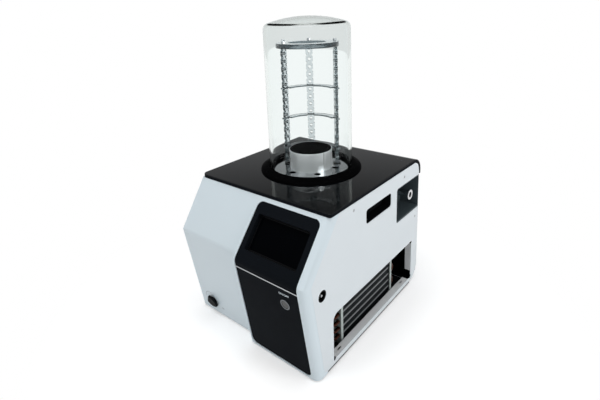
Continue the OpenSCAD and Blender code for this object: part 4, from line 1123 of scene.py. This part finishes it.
@dataclass
class DrainKnob:
    """The pointer knob of the drain valve, with the arc and the word printed beside it."""

    knob_edge: float = 0.003
    knob_facets: int = 5
    mark_x: float = -0.173
    mark_z: float = 0.048
    mark_radius: float = 0.0205
    mark_width: float = 0.0009
    mark_turn: Point = (68.0, 180.0)
    word_x: float = -0.126
    word_z: float = 0.0305
    word_height: float = 0.004
    steps: int = 40

    def on_face(self, x: float, z: float) -> Matrix:
        """The frame on the left face at a place across and a height."""
        up = (z - FACES.knee_z) / math.cos(FACES.left_b)
        return FACES.left() @ Matrix.Translation((x, up, PRINT_RISE))

    def mark(self) -> Piece:
        """The arc printed beside the knob.

        Returns:
            The new piece.
        """
        half = self.mark_width / 2
        outline = (arc((0, 0), self.mark_radius - half, *self.mark_turn, self.steps)
                   + arc((0, 0), self.mark_radius + half, *self.mark_turn[::-1], self.steps))
        count = len(outline)
        vertices = [(x, y, z) for z in (-PRINT_DEPTH / 2, PRINT_DEPTH / 2) for x, y in outline]
        faces = [(i, (i + 1) % count, (i + 1) % count + count, i + count) for i in range(count)]
        for i in range(self.steps):
            far = count - 1 - i
            faces += [(i, i + 1, far - 1, far), (i + count, i + 1 + count, far - 1 + count, far + count)]
        piece = meshed("knob_mark", vertices, faces, self.on_face(self.mark_x, self.mark_z))
        piece.data.materials.append(PRINT_GREY)
        return settled(piece, Slot.WHITE_MOULDING)

    def build(self) -> None:
        """Makes the knob, its arc and its word."""
        softened("drain_knob", Slot.MATTE_BLACK, self.knob_edge, self.knob_facets, body="drain_knob")
        self.mark()
        lettered("knob_word", "OFF", self.word_height, self.on_face(self.word_x, self.word_z),
                 Slot.WHITE_MOULDING, finish=PRINT_GREY)


@dataclass(frozen=True)
class Lamp:
    """A soft rectangular lamp: its place, width and height, power in watts, and whether mirrors show it."""

    name: str
    place: Triple
    size: Point
    power: float
    mirrored: bool = True

    def hang(self, aim: Triple) -> None:
        """Hangs the lamp.

        Args:
            aim: What it points at.
        """
        data = bpy.data.lights.new(self.name, "AREA")
        data.shape = "RECTANGLE"
        data.size, data.size_y = self.size
        data.energy = self.power
        lamp = bpy.data.objects.new(self.name, data)
        bpy.context.scene.collection.objects.link(lamp)
        lamp.location = self.place
        lamp.rotation_euler = (Vector(aim) - Vector(self.place)).to_track_quat("-Z", "Y").to_euler()
        lamp.visible_glossy = self.mirrored


@dataclass
class Studio:
    """The floor, the light and the camera."""

    position: Triple = (0.7172, -0.8635, 0.8254)
    yaw: float = 0.693
    pitch: float = 0.252
    roll: float = -0.038
    lens: float = 25.71
    sensor: float = 36.0
    shift: Point = (-0.0028, -0.1296)
    aim: Triple = (0.0, 0.0, 0.3)
    lamps: tuple[Lamp, ...] = (
        Lamp("overhead", (-0.2, -0.5, 3.2), (2.2, 2.2), 43),
        Lamp("key", (-1.1, -2.6, 2.6), (1.2, 1.2), 12),
        Lamp("fill", (2.6, 0.2, 1.6), (1.2, 1.6), 26, mirrored=False),
    )
    # The sky's brightness by height, from the horizon to overhead.
    sky: tuple[Point, ...] = (
        (0.0, 1.0), (0.06, 1.0), (0.3, 0.42), (0.46, 0.1), (0.7, 0.25), (1.0, 0.45))
    sky_tint: Point = (0.97, 0.985)
    # What clear walls show of the studio, and the mirrors and walls after which a ray sees the sky itself.
    sky_through: float = 0.8
    through_walls: Point = (1.0, 3.0)
    floor_size: float = 14.0
    floor_grey: float = 0.86
    floor_lift: float = 0.38
    # Where the floor begins to turn plain white, and where it is.
    shadow_reach: Point = (0.4, 0.75)

    def camera(self) -> None:
        """Sets up the camera."""
        data = bpy.data.cameras.new("camera")
        data.sensor_width = self.sensor
        data.lens = self.lens
        data.shift_x, data.shift_y = self.shift
        camera = bpy.data.objects.new("camera", data)
        bpy.context.scene.collection.objects.link(camera)
        turn = (Matrix.Rotation(self.yaw, 4, "Z") @ Matrix.Rotation(math.pi / 2 - self.pitch, 4, "X")
                @ Matrix.Rotation(self.roll, 4, "Z"))
        camera.matrix_world = Matrix.Translation(self.position) @ turn
        bpy.context.scene.camera = camera

    def backdrop_share(self, graph: Graph) -> Socket:
        """One for the rays that see the backdrop itself, and zero for those that light the object.

        Args:
            graph: The tree to add to.

        Returns:
            The share's socket.
        """
        path = graph.add("ShaderNodeLightPath")
        straight = graph.maths("MAXIMUM", path.outputs["Is Camera Ray"], path.outputs["Is Transmission Ray"])
        return graph.maths("MAXIMUM", straight, path.outputs["Is Glossy Ray"])

    def world(self) -> None:
        """A studio that is white near the horizon, darkest half way up and grey overhead."""
        world = bpy.data.worlds.new("studio")
        world.use_nodes = True
        bpy.context.scene.world = world
        graph = Graph(world.node_tree)
        way = graph.add("ShaderNodeTexCoord").outputs["Generated"]
        height = graph.add("ShaderNodeSeparateXYZ", {0: way}).outputs[2]
        ramp = graph.add("ShaderNodeValToRGB", {0: height})
        stops = ramp.color_ramp.elements
        while len(stops) < len(self.sky):
            stops.new(0.5)
        red, green = self.sky_tint
        for stop, (place, level) in zip(stops, self.sky):
            stop.position = place
            stop.color = (level * red, level * green, level, 1)
        path = graph.add("ShaderNodeLightPath")
        mirrors, walls = self.through_walls
        near = graph.maths("MAXIMUM", graph.maths("LESS_THAN", path.outputs["Glossy Depth"], mirrors),
                           graph.maths("LESS_THAN", path.outputs["Transmission Depth"], walls))
        clear = graph.maths("MULTIPLY", path.outputs["Is Transmission Ray"], near)
        through = graph.mix(clear, ramp.outputs[0], (*[self.sky_through] * 3, 1.0))
        seen = graph.mix(path.outputs["Is Camera Ray"], through, WHITE)
        room = graph.add("ShaderNodeBackground", {"Color": seen, "Strength": 1.0})
        graph.add("ShaderNodeOutputWorld", {0: room.outputs[0]})

    def floor(self) -> None:
        """The plain pale floor, which keeps the object's shadow."""
        half = self.floor_size / 2
        corners = [(-half, -half, 0), (half, -half, 0), (half, half, 0), (-half, half, 0)]
        floor = meshed("floor", corners, [(0, 1, 2, 3)])
        material = bpy.data.materials.new("pale_floor")
        material.use_nodes = True
        graph = Graph(material.node_tree)
        matt = graph.add("ShaderNodeBsdfDiffuse", {"Color": (*[self.floor_grey] * 3, 1.0)}).outputs[0]
        lift = graph.add("ShaderNodeEmission", {"Color": WHITE, "Strength": self.floor_lift}).outputs[0]
        near = graph.add("ShaderNodeAddShader", {0: matt, 1: lift}).outputs[0]
        white = graph.add("ShaderNodeEmission", {"Color": WHITE, "Strength": 1.0}).outputs[0]
        place = graph.add("ShaderNodeTexCoord").outputs["Object"]
        away = graph.add("ShaderNodeVectorMath", {0: place}, operation="LENGTH").outputs["Value"]
        far = graph.add("ShaderNodeMapRange", {0: away, 1: self.shadow_reach[0], 2: self.shadow_reach[1]},
                        interpolation_type="SMOOTHSTEP").outputs[0]
        seen = graph.add("ShaderNodeMixShader", {0: far, 1: near, 2: white}).outputs[0]
        shown = graph.add("ShaderNodeMixShader", {0: self.backdrop_share(graph), 1: matt, 2: seen})
        graph.add("ShaderNodeOutputMaterial", {0: shown.outputs[0]})
        floor.data.materials.append(material)

    def build(self) -> None:
        """Sets up the whole studio."""
        bpy.context.scene.view_settings.view_transform = "Standard"
        self.camera()
        self.world()
        self.floor()
        for lamp in self.lamps:
            lamp.hang(self.aim)


def dress_frame() -> None:
    """Gives each node of the frame the finish of its slot."""
    for part in frame["record"]["subparts"]:
        node = frame["nodes"][part["node"]]
        node.data.materials.clear()
        node.data.materials.append(MATERIALS[Slot(part["material_slot"])])


def main() -> None:
    """Builds the studio and every sub-assembly."""
    logging.basicConfig(level=logging.INFO, format="%(name)s %(message)s")
    dress_frame()
    for part in (Studio(), Housing(), ControlPanels(), DryingChamber(), RightSide(), RearSide(),
                 Refrigeration(), DrainKnob()):
        LOG.info("%s", type(part).__name__)
        part.build()


if __name__ == "__main__":
    main()
